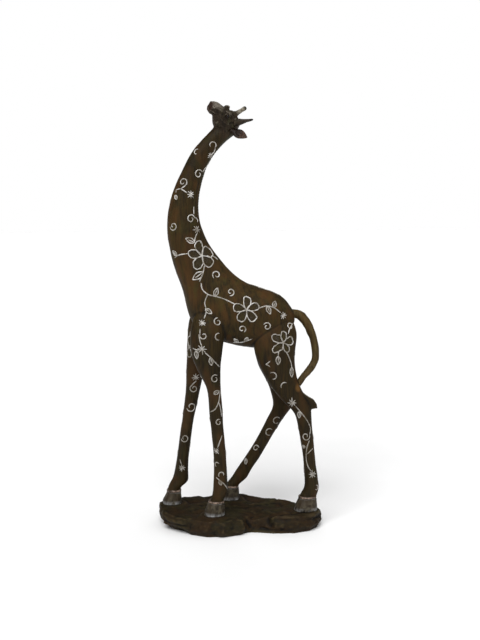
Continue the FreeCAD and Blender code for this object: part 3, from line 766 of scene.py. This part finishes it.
# ---------------------------------------------------------------- the carved pattern
# Everything is given as it shows from the left: (x, z) and sizes in millimetres.
#   hook x z radius start sweep inner | star x z radius | leaf x z length width turn
#   fork x z size | line (x, z)... | flower x z, then its petals as (x step, z step, radius)
MOTIFS = {"hook": hook, "star": star, "leaf": leaf, "fork": fork, "flower": flower}
PATTERN = {
    "neck": (15, [
        ("hook", -40, 541, 5.3, -45, 255, 0.65), ("line", (-36.3, 537), (-38, 532), (-42, 528)),
        ("star", -43, 527, 4.6), ("line", (-42, 523), (-46, 516), (-51, 509), (-53.5, 504.5)),
        ("hook", -59, 502, 6, 25, 410, 0.25), ("hook", -62, 532, 4.2, 60, 220, 0.7),
        ("hook", -81, 491, 5.8, -50, 380, 0.28), ("line", (-77.5, 486.5), (-81, 484), (-84.5, 482)),
        ("line", (-84.5, 482), (-90, 480.5), (-97, 479)),
        ("line", (-84.5, 482), (-79, 479), (-75, 476)), ("star", -70, 474, 6.2),
        ("leaf", -98, 475, 7, 3.4, -50), ("line", (-66, 458), (-66.4, 452), (-66, 447)),
        ("hook", -70, 441, 5.8, 10, 420, 0.25), ("line", (-64.3, 443), (-61.6, 440), (-61, 436)),
        ("star", -62, 426, 6.4), ("line", (-62, 421), (-64.5, 415), (-65.5, 408.5)),
        ("leaf", -65.5, 408.5, 13.5, 5.4, 155), ("hook", -95, 431, 5.8, 190, 430, 0.2),
        ("flower", -55, 390, (-4, 14, 7), (9, 7, 7), (9, -9, 7), (-6.5, -12, 7), (-13, 2.5, 6.6)),
        ("line", (-75, 393), (-84, 392), (-90, 390), (-97, 386)),
        ("leaf", -90, 390.5, 9.7, 4.2, 140), ("line", (-41, 390), (-37, 387.5), (-33, 384)),
        ("line", (-52, 376), (-54, 366), (-59, 354)), ("leaf", -54, 367, 18, 7, 215),
        ("hook", -35, 363, 5.8, 225, -400, 0.25),
    ]),
    "torso": (36, [
        ("line", (-59, 354), (-57, 345), (-49, 338), (-38, 335), (-26, 331), (-12, 324)),
        ("leaf", -40, 335.5, 12, 5, 72), ("hook", -18, 341, 5.2, -110, 400, 0.25),
        ("flower", 4, 316, (2, 13, 6), (12.5, 4, 6), (8.5, -10.5, 6), (-7.5, -10.5, 6),
         (-12.5, 3.5, 6)),
        ("line", (22, 318), (32, 321), (43, 318), (52, 311)), ("leaf", 33, 320.5, 12, 5, -72),
        ("leaf", 42, 318.5, 11, 4.6, 62), ("star", 56, 307, 5.6),
        ("line", (-50, 338), (-54, 327), (-52, 316), (-55, 305)), ("leaf", -53, 318, 11, 4.8, -35),
        ("star", -58, 299, 5.4), ("hook", -36, 300, 5.6, 80, 400, 0.25),
        ("hook", 33, 292, 5.6, 150, -410, 0.25), ("hook", 66, 292, 4.6, 40, 360, 0.4),
        ("line", (-15, 271), (-5, 270.5), (6, 273), (12, 275)), ("leaf", -8, 271, 9, 4, 120),
        ("leaf", 2, 272, 8, 3.6, 60), ("hook", -2, 289, 5.2, -60, 380, 0.3),
        ("line", (63, 281), (65, 288), (69, 296)),
    ]),
    "front_left": (36, [
        ("hook", -56, 281, 5.2, 150, 340, 0.35), ("line", (-60.6, 291), (-61, 284)),
        ("flower", -76, 266, (2, 10.5, 5), (1, -10, 5), (10, 3, 4.6)),
        ("line", (-71, 264), (-66, 261.5), (-61, 261)), ("leaf", -66.5, 260, 11.5, 4.6, -84),
        ("star", -58, 262, 7.2), ("line", (-62.5, 283), (-61, 274), (-59, 267)),
        ("line", (-54, 257), (-47, 251), (-40, 243.5), (-34, 236.5)),
        ("leaf", -46, 250, 11, 4.6, -84), ("hook", -35, 279, 5, 70, 210, 0.9),
        ("hook", -40, 220, 5.6, 50, 380, 0.35), ("leaf", -42, 199, 9.5, 4.2, 22),
        ("line", (-33, 202), (-34, 194), (-35, 187), (-40, 177), (-47, 173)),
        ("line", (-35, 187), (-32.5, 178), (-31, 166)), ("hook", -35, 158, 4.2, 60, 360, 0.4),
        ("line", (-30.5, 139), (-34, 129), (-37, 121)), ("star", -39, 117, 5.2),
        ("hook", -38, 97, 3.6, 30, 230, 0.7), ("hook", -31, 82, 4.6, 215, -235, 0.6),
        ("line", (-39, 79), (-34, 74), (-28, 69), (-23, 61)), ("leaf", -34, 74, 7, 3.2, -70),
    ]),
    "hind_left": (38, [
        ("flower", 56, 269, (-11.3, 7.3, 5.8), (-10.5, -8.9, 5.8), (0.5, 11.5, 4.6),
         (9.6, 2, 5.6), (5, -9.5, 4.6)),
        ("leaf", 48.5, 250, 12, 5, -90), ("line", (49, 257), (48.6, 251)),
        ("fork", 31, 239, 6.4), ("line", (60, 256), (64, 248), (67, 240), (68, 234)),
        ("leaf", 68, 234, 14, 5, -94), ("hook", 41, 222, 5.6, 130, -230, 0.8),
        ("hook", 58, 207, 5.6, 60, 150, 0.9), ("star", 69, 183, 7.6),
        ("line", (74, 178), (83, 167), (91, 156), (95.5, 145), (94.5, 136)),
        ("hook", 89, 134, 5.8, 15, -420, 0.25), ("leaf", 79, 170, 10, 4, -92),
        ("line", (94, 128), (90.5, 117), (89.5, 103), (92, 91), (97, 83)),
        ("star", 99, 78, 6.2), ("line", (91, 108), (95, 112), (99, 116)),
        ("star", 86, 119, 3.6), ("hook", 105, 58, 4, 100, -230, 0.6),
    ]),
    "front_right": (-14, [
        ("star", -62, 213, 5.8), ("line", (-61, 208), (-66, 204), (-69.5, 199.5)),
        ("hook", -65, 197, 5.8, 130, 420, 0.22), ("hook", -69, 170, 7, 200, 370, 0.35),
        ("hook", -79, 124, 5.8, 190, 400, 0.35), ("star", -83, 80, 6),
        ("line", (-86, 93), (-84, 86)),
    ]),
    "hind_right": (-24, [
        ("hook", 58, 143, 5.8, 40, 270, 0.6), ("hook", 47, 126, 5.6, 40, 250, 0.8),
        ("leaf", 12, 88, 9, 4, -62), ("hook", 27, 103, 4.6, 10, 360, 0.4),
    ]),
}


def leg_line(leg, heights, reach):
    """The heights, x and y of a leg's middle, from the CAD points within reach of each height."""
    co = np.array([v.co for v in nodes["leg_" + leg].data.vertices]) / MM
    rows = []
    for z in heights:
        ring = co[np.abs(co[:, 2] - z) < reach]
        if len(ring):
            rows.append((z, *((ring.min(0) + ring.max(0)) / 2.0)[:2]))
    return np.array(rows).T


MIDDLES = {leg: leg_line(leg, np.arange(50.0, 300.0, 10.0), 8.0)[:2] for leg in LEGS}


def spots(group, side):
    """Every motif of a group, moved to the limb that shows from the given side."""
    depth, items = PATTERN[group]
    other = group.replace("left", "*").replace("right", "left").replace("*", "right")

    def moved(x, z):
        if side < 0 or group not in LEGS:
            return x, z
        fade = min(1.0, max(0.0, (285.0 - z) / 30.0))
        shift = np.interp(z, *MIDDLES[other]) - np.interp(z, *MIDDLES[group])
        return x + shift * fade, z

    for kind, *rest in items:
        if kind == "line":
            yield kind, [moved(x, z) for x, z in rest], depth
        else:
            yield kind, [moved(*rest[:2])] + rest[2:], depth


# ---------------------------------------------------------------- body
BASE_TOP, HOOF_TOP = 25.0, 43.0    # the hooves stand on one and end at the other
LEG_CUT = Vector((0, 0, 252))      # the legs part from the trunk at this height
NECK_SEAT, NECK_RUN = Vector((-35.5, 0.0, 342.0)), Vector((-0.203, 0.0, 0.979))
HEAD_SEAT, HEAD_RUN = Vector((-38.0, 0.0, 546.5)), Vector((0.683, 0.0, 0.730))
NAPE = [(-12, 557), (-23, 546.5), (-34, 532.5), (-44.5, 517), (-51, 501.5), (-56, 483),
        (-58.3, 465), (-58, 446), (-55.5, 433)]

body = remeshed(cad_mesh(["torso", "neck"] + ["leg_" + leg for leg in LEGS]), 1.0)
body.fillet(8)
body.smooth(4)
body.ready()
loose = rise(body.co[:, 2], HOOF_TOP + 3, HOOF_TOP + 15)
loose *= rise(body.along(HEAD_SEAT, -HEAD_RUN), 0, 14)
body.lumps(26.0, 0.75, 3.1, (1, 1, 0.7), loose)
body.lumps(7.0, 0.28, 8.4, (1, 1, 0.45), loose)

# The mane: a low band down the nape, cut across into short locks, with a groove along each side.
nape = [Vector((x, 0, z)) for x, z in NAPE]
LOCKS = 38
locks = []
for i in range(LOCKS):
    t = i / LOCKS * (len(nape) - 1)
    p = nape[int(t)].lerp(nape[int(t) + 1], t - int(t))
    tilt = draws.uniform(-1.5, 1.5)
    locks.append([p + Vector((-2.6, -8, 1.5 + tilt)), p + Vector((0.4, 0, -1)),
                  p + Vector((-2.6, 8, 1.5 - tilt))])


def carve_mane(skin):
    skin.ready(4)
    fade = rise(skin.co[:, 2], 432, 472)
    skin.stroke(nape, 11.0, 0.7, 0.6, "mane", fade)
    for side in (-1, 1):
        skin.stroke([p + Vector((-4.6, side * 11.4, -1.2)) for p in nape], 1.9, -0.8, fade=fade)
    for lock in locks:
        skin.stroke(lock, 1.35, -0.5, fade=fade)


carve_mane(body)
body.ready(3)
body.stroke([Vector((79, -38, 204)), Vector((83, -37, 213))], 9.0, 0.5, 0.2, "tan")

# ---------------------------------------------------------------- head
EYE_RADIUS = 2.7


def eye_place(side):
    """The middle of an eye and the way that it looks."""
    return (in_head(7.6, side * 11.2, 9.2),
            (LEFT * side * 0.80 + CROWN * 0.56 + FORWARD * 0.2).normalized())


head_start = HEAD_SEAT - HEAD_RUN * 5.0
head = remeshed(cad_mesh(["head", "horn_left", "horn_right", "neck"], (head_start, HEAD_RUN)), 0.45)
head.fillet(14, 0.008)
head.smooth(3)
throat = np.clip(1.5 - np.abs(head.along(HEAD_SEAT, HEAD_RUN) - 17.0) / 9.0, 0, 1)
throat *= np.clip(14.0 - head.along(HEAD_CENTRE, FORWARD), 0, 1)
head.relax(throat * 0.6, 70)
HORNS = {1: ((-9.5, 11.0, 9.0), (-14.0, 1.0, 14.5)), -1: ((-9.2, 11.2, 10.2), (-8.6, 5.5, 13.4))}
for side, ((ahead, outwards, up), _) in HORNS.items():
    head.relax(head.within([in_head(12, side * 7, 11), in_head(3, side * 10, 11)], 8.5), 30)
    head.relax(head.within([in_head(ahead + 2, side * outwards, up - 2)], 10.0), 110)
carve_mane(head)
head.ready(4)
head.marks["face"] = rise(head.along(HEAD_SEAT, HEAD_RUN), 5, 17)
HEAD_STROKES = [
    # reach, height, flat, then points as (ahead, side, up), made on both sides
    # corners of the nose and chin
    (4.5, 0.7, 0.2, (31.5, 4.0, 9.0), (30.5, 7.5, 8.0)),
    (5.0, 0.7, 0.2, (30.5, 6.0, -1.5), (31.0, 2.0, -2.0)),
    # eye sockets and heavy brows
    (6.5, -0.8, 0.2, (6.5, 12.0, 6.5), (12.0, 9.5, 7.5)),
    (3.4, 1.0, 0.3, (12.0, 7.0, 13.6), (9.5, 9.0, 14.2), (6.0, 10.2, 13.6)),
    (4.2, 1.5, 0.2, (6.0, 9.6, 13.4), (0.5, 10.4, 13.4), (-4.0, 10.8, 12.6)),
    (2.0, -0.8, 0.0, (4.6, 6.0, 15.0), (3.6, 10.0, 13.8), (3.4, 12.6, 11.4)),
    # sides and ridges of the muzzle, and the jaw
    (3.6, -0.9, 0.0, (14.5, 8.5, 6.5), (22.0, 8.5, 6.0)),
    (2.6, 0.7, 0.0, (14.0, 4.5, 13.2), (20.0, 5.2, 12.6), (26.5, 6.4, 11.6)),
    (4.5, -0.9, 0.1, (21.0, 9.5, -1.0), (18.0, 11.0, -4.0)),
    (4.2, 1.1, 0.2, (13.0, 10.5, -6.5), (6.0, 12.5, -7.5), (-3.0, 12.5, -7.5)),
    (3.0, -0.6, 0.0, (14.5, 9.6, -1.5), (6.0, 12.8, -2.5), (-1.0, 13.2, -1.5)),
    # mouth and lips
    (1.5, -1.4, 0.1, (33.0, 0.0, 1.6), (32.0, 6.0, 1.5), (30.0, 9.6, 1.3), (25.5, 9.9, 0.7),
     (21.0, 10.1, -0.8), (18.5, 10.6, -3.0)),
    (1.8, 0.5, 0.0, (32.6, 0.0, 4.0), (31.8, 6.0, 3.9), (29.5, 9.8, 3.7), (24.0, 10.0, 3.0)),
    (1.8, 0.45, 0.0, (32.2, 0.0, -0.6), (31.0, 6.0, -0.8), (27.8, 9.2, -1.2)),
    # nostrils and wrinkles
    (2.0, -1.6, 0.1, (32.2, 5.0, 7.2), (30.4, 7.4, 9.0)),
    (1.6, 0.6, 0.0, (32.4, 3.0, 8.2), (30.6, 5.0, 10.4), (28.4, 7.2, 10.6)),
    (1.1, -0.35, 0.0, (27.0, 8.0, 8.8), (24.0, 9.6, 6.0)),
    (1.1, -0.3, 0.0, (24.5, 7.8, 9.4), (21.8, 9.6, 6.6)),
    # hollows behind the eye and before the ear, and the crease of the cheek
    (3.2, -1.2, 0.0, (-1.5, 13.2, 3.0), (-4.5, 12.6, 6.0)),
    (2.4, -0.8, 0.0, (-10.0, 12.6, 1.5), (-13.5, 11.0, 6.0)),
    (1.3, -0.4, 0.0, (2.0, 13.4, 0.0), (8.0, 12.6, 1.5), (13.5, 10.8, 3.0)),
]
for reach, height, flat, *line in HEAD_STROKES:
    for side in (-1, 1):
        head.stroke([in_head(a, side * s, u) for a, s, u in line], reach, height, flat)
head.stroke([in_head(12, 0, 13.6), in_head(28, 0, 11.2)], 4.5, 0.7, 0.3)
head.stroke([in_head(0, 0, 14.4), in_head(-5, 0, 13.6)], 6.0, 1.5, 0.2)
head.stroke([in_head(32.6, 0, 9.0), in_head(33.0, 0, 4.4)], 1.1, -0.5)
for side in (-1, 1):
    eye, out = eye_place(side)
    along = (FORWARD - out * FORWARD.dot(out)).normalized()
    over = out.cross(along)
    over = over if over.dot(CROWN) > 0 else -over
    for reach, height, low, high, wide, tall in (
            (1.35, 0.95, 5, 175, 3.7, 2.9), (1.2, 0.6, 190, 350, 3.7, 2.6),
            (1.2, -0.7, 10, 170, 5.0, 4.6), (1.2, -0.5, 200, 340, 5.0, 4.3)):
        arc = [eye + out * 0.9 + along * wide * math.cos(math.radians(a))
               + over * tall * math.sin(math.radians(a)) for a in range(low, high + 1, 15)]
        head.stroke(arc, reach, height)
head.ready(2)
head.lumps(7.0, 0.35, 14.2, keep=head.marks["face"])
head.lumps(3.0, 0.08, 17.9, keep=head.marks["face"])
horn_share, painted_lit_horn = np.zeros((2, len(head.co)))
for side, (root, lean) in HORNS.items():
    root = np.array(in_head(root[0], side * root[1], root[2]))
    lean = np.array(FORWARD * lean[0] + LEFT * side * lean[1] + CROWN * lean[2])
    along = np.clip((head.co - root) @ lean / (lean @ lean), 0, 1)
    off = np.linalg.norm(head.co - root - along[:, None] * lean, axis=1)
    near = (off < 6.0) & (along > 0.02)
    horn_share[near] = np.maximum(horn_share[near], along[near])
    # The far horn is marked for the paler colour, a painted light.
    if side < 0:
        painted_lit_horn[near] = 1.0
head.marks["horn"], head.marks["painted_lit_horn"] = horn_share, painted_lit_horn
ahead, facing = head.along(HEAD_CENTRE, FORWARD), head.normals(2)
# Marks the upward-facing top of the muzzle for a painted highlight.
head.marks["pale"] = rise(ahead, 14, 22) * rise(facing @ np.array(CROWN), 0.35, 0.75)
# Marks the front face of the muzzle for the dark mouth and painted shade.
head.marks["mouth"] = rise(ahead, 27, 30) * rise(facing @ np.array(FORWARD), 0.45, 0.75)
head.wear(4)


def joined_tree(*skins):
    """One search tree over several skins."""
    points, faces, start = [], [], 0
    for skin in skins:
        points.extend(Vector(p) for p in skin.co)
        faces.extend((skin.quads + start).tolist())
        start += len(skin.co)
    return BVHTree.FromPolygons(points, faces)


# ---------------------------------------------------------------- sunken petals
PETAL_DEPTH = 0.9
drape = joined_tree(body)


def sink(skin, outline, depth):
    """Sinks the inside of an outline drawn on the skin."""
    middle = sum(outline, Vector()) / len(outline)
    middle, normal = onto(middle)
    u = normal.orthogonal().normalized()
    v = normal.cross(u)
    flat = np.array([((p - middle).dot(u), (p - middle).dot(v)) for p in outline])
    index = skin.nearby([middle], 14.0)
    index = index[skin.push[index] @ np.array(normal) > 0.15]
    local = skin.co[index] - np.array(middle)
    spot = np.stack([local @ np.array(u), local @ np.array(v)], axis=1)
    inside = np.zeros(len(index), bool)
    gap = np.full(len(index), 1e9)
    for a, b in zip(flat, np.roll(flat, -1, axis=0)):
        crosses = (a[1] > spot[:, 1]) != (b[1] > spot[:, 1])
        rise = b[1] - a[1] if abs(b[1] - a[1]) > 1e-9 else 1e-9
        inside ^= crosses & (spot[:, 0] < (b[0] - a[0]) * (spot[:, 1] - a[1]) / rise + a[0])
        run = b - a
        share = np.clip((spot - a) @ run / max(run @ run, 1e-9), 0, 1)
        gap = np.minimum(gap, np.linalg.norm(spot - a - share[:, None] * run, axis=1))
    weight = np.where(inside, np.clip(gap / 1.2, 0, 1), 0.0)
    skin.co[index] -= skin.push[index] * (weight * depth)[:, None]
    values = skin.marks.setdefault("petal", np.zeros(len(skin.co)))
    values[index] = np.maximum(values[index], weight)


body.ready(3)
for group in PATTERN:
    for side in (-1, 1):
        for kind, rest, depth in spots(group, side):
            if kind == "flower":
                anchor = seen(*rest[0], side, depth)
                for petal in flower(*rest[1:]):
                    sink(body, laid(anchor, petal), PETAL_DEPTH)
body.wear(3)
body.marks.setdefault("petal", np.zeros(len(body.co)))
drape = joined_tree(body, head)

for group in PATTERN:
    for side, word in ((-1, "near"), (1, "far")):
        lines = Lines()
        for kind, rest, depth in spots(group, side):
            if kind == "line":
                lines.ribbon([seen(x, z, side, depth)[0] for x, z in rest])
            else:
                lines.motif(seen(*rest[0], side, depth), MOTIFS[kind](*rest[1:]))
        lines.piece("lines_%s_%s" % (group, word))


# ---------------------------------------------------------------- vines down the ends and spine
def vine(lines, anchors, size, heading, every):
    """A wavy stalk over the skin, with leaves on both sides in turn and a star at its end."""
    anchors = [a for a in anchors if a[0] is not None]
    if len(anchors) < 4:
        return
    lines.ribbon([point for point, _ in anchors])
    for i, (point, normal) in enumerate(anchors[2:-2:every]):
        turn = heading + (52 if i % 2 else -52)
        lines.motif((point, normal), leaf(size * draws.uniform(0.85, 1.1), size * 0.42, turn))
    lines.motif(anchors[-1], star(size * 0.55))


def facing_end(toward, x, y, z):
    """The skin point that faces one end of the statue, looked for from x."""
    point, normal, _, _ = drape.ray_cast(Vector((x, y, z)), Vector((-toward, 0, 0)))
    if point is None or normal.x * toward < 0.25:
        return None, None
    return point, normal


for word, toward in (("front", -1), ("back", 1)):
    lines = Lines()
    for leg in LEGS:
        outer = leg.startswith("front") == (toward < 0)
        z, x, y = leg_line(leg, np.arange(70.0, 306.0, 6.0), 6.0)
        path = []
        for height in np.arange(294.0 if outer else 216.0, 74.0, -5.0):
            sway = 1.4 * math.sin(height / 8.5 + len(leg))
            start = np.interp(height, z, x) + toward * (44.0 if outer else 26.0)
            side = np.interp(height, z, y) + (7.4 if toward < 0 else 3.6) + sway
            path.append(facing_end(toward, start, side, height))
        vine(lines, path, 8.5, -90, 6)
    if toward < 0:
        path = [facing_end(-1, -300, 10.5 + 2.2 * math.sin(height / 11.0), height)
                for height in np.arange(528.0, 322.0, -5.0)]
        vine(lines, path, 10.5, -90, 5)
    else:
        path = [drape.ray_cast(Vector((x, 6.0 + 2.5 * math.sin(x / 9.0), 500)), -UP)[:2]
                for x in np.arange(4.0, 70.0, 4.0)]
        vine(lines, path, 10.5, 0, 5)
    lines.piece("lines_" + word)

# ---------------------------------------------------------------- pieces of the body
whole = bmesh.new()
whole.from_mesh(body.mesh("whole_body"))


def part_of(source, name, cuts, near=None):
    """One closed piece cut from the whole, the one nearest a point if several are left."""
    bm = source.copy()
    for point, normal in cuts:
        cut(bm, point, normal)
    if near is not None:
        seed = min(bm.verts, key=lambda v: (v.co - near * MM).length_squared)
        found, front = {seed}, [seed]
        while front:
            nearby = [e.other_vert(v) for v in front for e in v.link_edges]
            front = [v for v in set(nearby) if v not in found]
            found.update(front)
        bmesh.ops.delete(bm, geom=[v for v in bm.verts if v not in found], context="VERTS")
    mesh = bpy.data.meshes.new(name)
    bm.to_mesh(mesh)
    bm.free()
    return mesh


place(part_of(whole, "carved_neck", [(NECK_SEAT, NECK_RUN), (HEAD_SEAT, -HEAD_RUN)]),
      body_wood, "carved_wood", "neck")
place(part_of(whole, "carved_torso", [(NECK_SEAT, -NECK_RUN), (LEG_CUT, UP)]),
      body_wood, "carved_wood", "torso")
for leg in LEGS:
    place(part_of(whole, "carved_leg_" + leg, [(LEG_CUT, -UP)], hoof_box(leg)[2]),
          body_wood, "carved_wood", "leg_" + leg)
whole.free()

whole = bmesh.new()
whole.from_mesh(head.mesh("whole_head"))
place(part_of(whole, "carved_head", [(HEAD_SEAT, HEAD_RUN)]),
      head_wood, "carved_wood", "head", "horn_left", "horn_right")
whole.free()

# ---------------------------------------------------------------- ears
for side, word in SIDES:
    ear = remeshed(cad_mesh(["ear_" + word]), 0.36)
    ear.smooth(2)
    ear.ready(3)
    facing = (FORWARD * 0.80 + LEFT * side * 0.45 + CROWN * 0.75).normalized()
    root = in_head(-11.0, side * 13.2, -4.0)
    lean = FORWARD * -14.0 + LEFT * side * 11.5 + CROWN * 6.0
    width = lean.cross(facing).normalized()
    for across in (-0.5, -0.18, 0.18, 0.5):
        path = [root + lean * t + width * across * 8.0 * math.sin(math.pi * (0.15 + 0.75 * t))
                + facing * 0.3 for t in (0.15, 0.35, 0.55, 0.75, 0.92)]
        ear.stroke(path, 0.8, -0.35)
    ear.lumps(3.0, 0.2, 5.5)
    ear.marks["inner"] = np.clip(ear.normals(2) @ np.array(facing) * 2.0 - 0.4, 0, 1)
    ear.marks["tip"] = rise(ear.along(root, lean) / lean.length_squared, 0.45, 0.75)
    ear.wear(2)
    place(ear.mesh("carved_ear_" + word), ear_material(), "ear_wood", "ear_" + word)

# ---------------------------------------------------------------- eyes
for side, word in SIDES:
    eye, out = eye_place(side)
    bm = bmesh.new()
    bmesh.ops.create_icosphere(bm, subdivisions=4, radius=1.0)
    facing = np.array([v.co.dot(out) for v in bm.verts])
    reach = EYE_RADIUS * 0.99 * (1.0 + 0.25 * np.clip(facing - 0.8, 0, None))
    points = [(eye + v.co * r) * MM for v, r in zip(bm.verts, reach)]
    mesh = smooth_mesh("bead_eye_" + word, points, [[v.index for v in f.verts] for f in bm.faces],
                       pupil=np.clip((facing - 0.80) / 0.06, 0, 1))
    bm.free()
    place(mesh, eye_material(), "eye_bead", "eye_" + word)

# ---------------------------------------------------------------- tail
tail = remeshed(cad_mesh(["tail"]), 0.7)
tail.smooth(3)
tail.ready(3)
tail.lumps(4.0, 0.55, 2.2, (1.0, 1.0, 0.22))
tail.lumps(14.0, 0.7, 6.6)
tail.wear(2)
place(tail.mesh("carved_tail"), tail_wood, "tail_wood", "tail")

# ---------------------------------------------------------------- hooves and bands
hoof_paint = hoof_material()
for number, leg in enumerate(LEGS):
    hoof = remeshed(cad_mesh(["hoof_" + leg]), 0.6)
    hoof.smooth(2)
    hoof.ready(3)
    low, _, middle = hoof_box(leg)
    toe = Vector((low.x, middle.y, 0))
    hoof.stroke([toe + Vector((-0.5, 0, 26)), toe + Vector((2.5, 0, 34)),
                 toe + Vector((6.0, 0, 40))], 1.7, -1.3)
    up = hoof.co[:, 2]
    keep = rise(up, BASE_TOP + 0.5, BASE_TOP + 2.5) * rise(-up, -HOOF_TOP, 1.5 - HOOF_TOP)
    hoof.lumps(11.0, 1.1, 4.0 + number, (1, 1, 0.8), keep)
    hoof.lumps(3.4, 0.16, 9.0 + number, (1, 1, 0.4), keep)
    hoof.wear(2)
    hoof.marks["sole"] = np.clip((BASE_TOP + 6.0 - hoof.co[:, 2]) / 5.0, 0, 1)
    place(hoof.mesh("carved_hoof_" + leg), hoof_paint, "hoof_paint", "hoof_" + leg)
    ring = remeshed(cad_mesh(["band_" + leg]), 0.4)
    ring.smooth(2)
    ring.ready(3)
    ring.lumps(6.0, 0.5, 7.0 + number)
    # The sideways-facing middle of the band is marked to stay silver, a painted highlight over real
    # silver paint.
    ring.marks["edge"] = np.clip(1.25 - 2.2 * np.abs(ring.normals(2)[:, 2]), 0, 1)
    place(ring.mesh("painted_band_" + leg), band_paint, "silver_paint", "band_" + leg)

# ---------------------------------------------------------------- base
base = remeshed(cad_mesh(["base"]), 1.3)
base.smooth(1)
base.ready(3)
seat = np.zeros(len(base.co))
for leg in LEGS:
    far = np.linalg.norm(base.co[:, :2] - np.array(hoof_box(leg)[2].xy), axis=1)
    seat = np.maximum(seat, np.clip((27.0 - far) / 7.0, 0, 1))
rough_cut = np.clip(base.co[:, 2] / 4.0, 0, 1) * (1 - seat * (base.co[:, 2] > 19.0))
on_top = rise(base.co[:, 2], BASE_TOP - 9, BASE_TOP - 3)
base.lumps(46.0, 3.6, 5.2, (1, 1, 1.2), rough_cut * (1 - 0.4 * on_top))
base.lumps(13.0, 2.2, 9.9, (0.7, 1.2, 1.0), rough_cut * (1 - 0.75 * on_top))
base.ready(3)
CHISEL_CUTS = 260
top = np.nonzero(base.co[:, 2] > 3.0)[0]
for _ in range(CHISEL_CUTS):
    at = top[draws.randrange(len(top))]
    tilt = 0.22 - 0.14 * on_top[at]
    plane = base.push[at] + np.array([draws.gauss(0, tilt) for _ in range(3)])
    plane /= np.linalg.norm(plane)
    local = base.co - base.co[at]
    reach = draws.uniform(9.0, 20.0) * (1.0 + 0.6 * on_top[at])
    near = np.clip(2.5 - 2.5 * np.linalg.norm(local, axis=1) / reach, 0, 1) * rough_cut
    proud = np.clip(local @ plane + draws.uniform(0.1, 0.7) * (1.0 - 0.75 * on_top[at]), 0, 3.0)
    base.co -= plane * (proud * near)[:, None]
ROCK_STROKES = [
    # reach, height, then points: a split in the front, and ledges under the front hooves
    (5.0, -8.0, (12, -46, 26), (14, -55, 17), (14, -60, 8), (13, -60, 0)),
    (7.0, 1.6, (-4, -56, 18), (-2, -58, 8)),
    (8.0, 1.8, (30, -56, 20), (52, -60, 14)),
    (9.0, 1.6, (-70, 6, 25), (-36, 20, 25), (0, 18, 25), (34, 28, 25)),
    (7.0, -1.3, (-58, -16, 25), (-26, -2, 25), (8, -8, 25), (40, 6, 25)),
    (4.0, -1.4, (13, -46, 26), (8, -34, 25), (10, -20, 25)),
    (5.0, 2.0, (-116, 4, 20), (-108, -18, 21), (-94, -34, 21), (-72, -48, 21)),
    (4.0, -1.8, (-117, -2, 13), (-109, -24, 13), (-94, -41, 13), (-76, -54, 13)),
    (3.0, -1.2, (-112, 14, 25), (-100, 2, 25.5), (-84, 0, 25.5), (-66, -8, 25.5)),
    (3.5, -1.4, (52, -52, 25), (70, -50, 25), (88, -44, 25)),
    (4.0, 1.6, (20, -52, 23), (48, -58, 23), (78, -60, 23), (104, -50, 22)),
    (3.0, -1.1, (-40, 50, 25), (-10, 58, 25), (24, 50, 25)),
    (3.0, -1.2, (30, -20, 25), (52, 4, 25), (60, 28, 25)),
]
base.ready(2)
for reach, height, *line in ROCK_STROKES:
    base.stroke([Vector(p) for p in line], reach, height)
base.ready(2)
base.lumps(4.0, 0.5, 1.7, (0.7, 1, 1), rough_cut)
base.co[:, 2] = np.where(seat > 0.5, np.minimum(base.co[:, 2], BASE_TOP), base.co[:, 2])
base.co[:, 2] = np.maximum(base.co[:, 2], 0.0)
base.wear(2)
place(base.mesh("carved_rock"), rock_material(), "rock_wood", "base")

# ---------------------------------------------------------------- what stays as the CAD has it
for name, finish in [("base_screws", screw_metal())] + [
        ("dowel_" + word, hidden_wood()) for word in LEGS + ("neck", "head")]:
    nodes[name].data.materials.clear()
    nodes[name].data.materials.append(finish)

# ---------------------------------------------------------------- floor, light and camera
floor_paint = Paint("pale_floor")
floor_tone = floor_paint.noise(0.004, 2.0)
floor_finish = floor_paint.finish(
    floor_paint.blend(floor_paint.span(floor_tone, 0.3, 0.7), (0.86, 0.86, 0.86),
                      (0.9, 0.9, 0.9)), 0.9)
floor_mesh = bpy.data.meshes.new("floor")
floor_mesh.from_pydata([(-9, -9, 0), (9, -9, 0), (9, 9, 0), (-9, 9, 0)], [], [(0, 1, 2, 3)])
floor_mesh.materials.append(floor_finish)
floor = bpy.data.objects.new("floor", floor_mesh)
bpy.context.scene.collection.objects.link(floor)

scene = bpy.context.scene
scene.view_settings.view_transform = "Standard"
world = bpy.data.worlds.new("studio")
scene.world = world
world.use_nodes = True
backdrop = world.node_tree.nodes["Background"]
backdrop.inputs[0].default_value = (1.0, 1.0, 1.0, 1.0)
# The backdrop shows white, and lights the statue less than it shows.
BACKDROP_LIGHT = 0.17
rays = world.node_tree.nodes.new("ShaderNodeLightPath")
strength = world.node_tree.nodes.new("ShaderNodeMapRange")
strength.inputs["To Min"].default_value = BACKDROP_LIGHT
strength.inputs["To Max"].default_value = 1.0
world.node_tree.links.new(rays.outputs["Is Camera Ray"], strength.inputs["Value"])
world.node_tree.links.new(strength.outputs[0], backdrop.inputs[1])


def soft_sun(name, comes_from, spread, power, glossy=True):
    lamp = bpy.data.lights.new(name, "SUN")
    lamp.angle, lamp.energy = math.radians(spread), power
    holder = bpy.data.objects.new(name, lamp)
    holder.rotation_euler = Vector(comes_from).to_track_quat("Z", "Y").to_euler()
    holder.visible_glossy = glossy
    scene.collection.objects.link(holder)


soft_sun("key", (-0.35, -0.8, 1.05), 45, 3.1)
soft_sun("fill", (0.9, -0.5, 0.9), 70, 0.6)
soft_sun("back", (0.2, 1.0, 1.0), 70, 0.7, glossy=False)

camera = bpy.data.objects.new("camera", bpy.data.cameras.new("camera"))
camera.data.lens, camera.data.sensor_width = 57.15, 36.0
camera.data.clip_start, camera.data.clip_end = 0.05, 50.0
camera.location = EYE_POINT * MM
look = Vector((math.sin(HEADING) * math.cos(DIP), math.cos(HEADING) * math.cos(DIP),
               -math.sin(DIP)))
camera.rotation_euler = look.to_track_quat("-Z", "Y").to_euler()
scene.collection.objects.link(camera)
scene.camera = camera

bpy.context.view_layer.update()
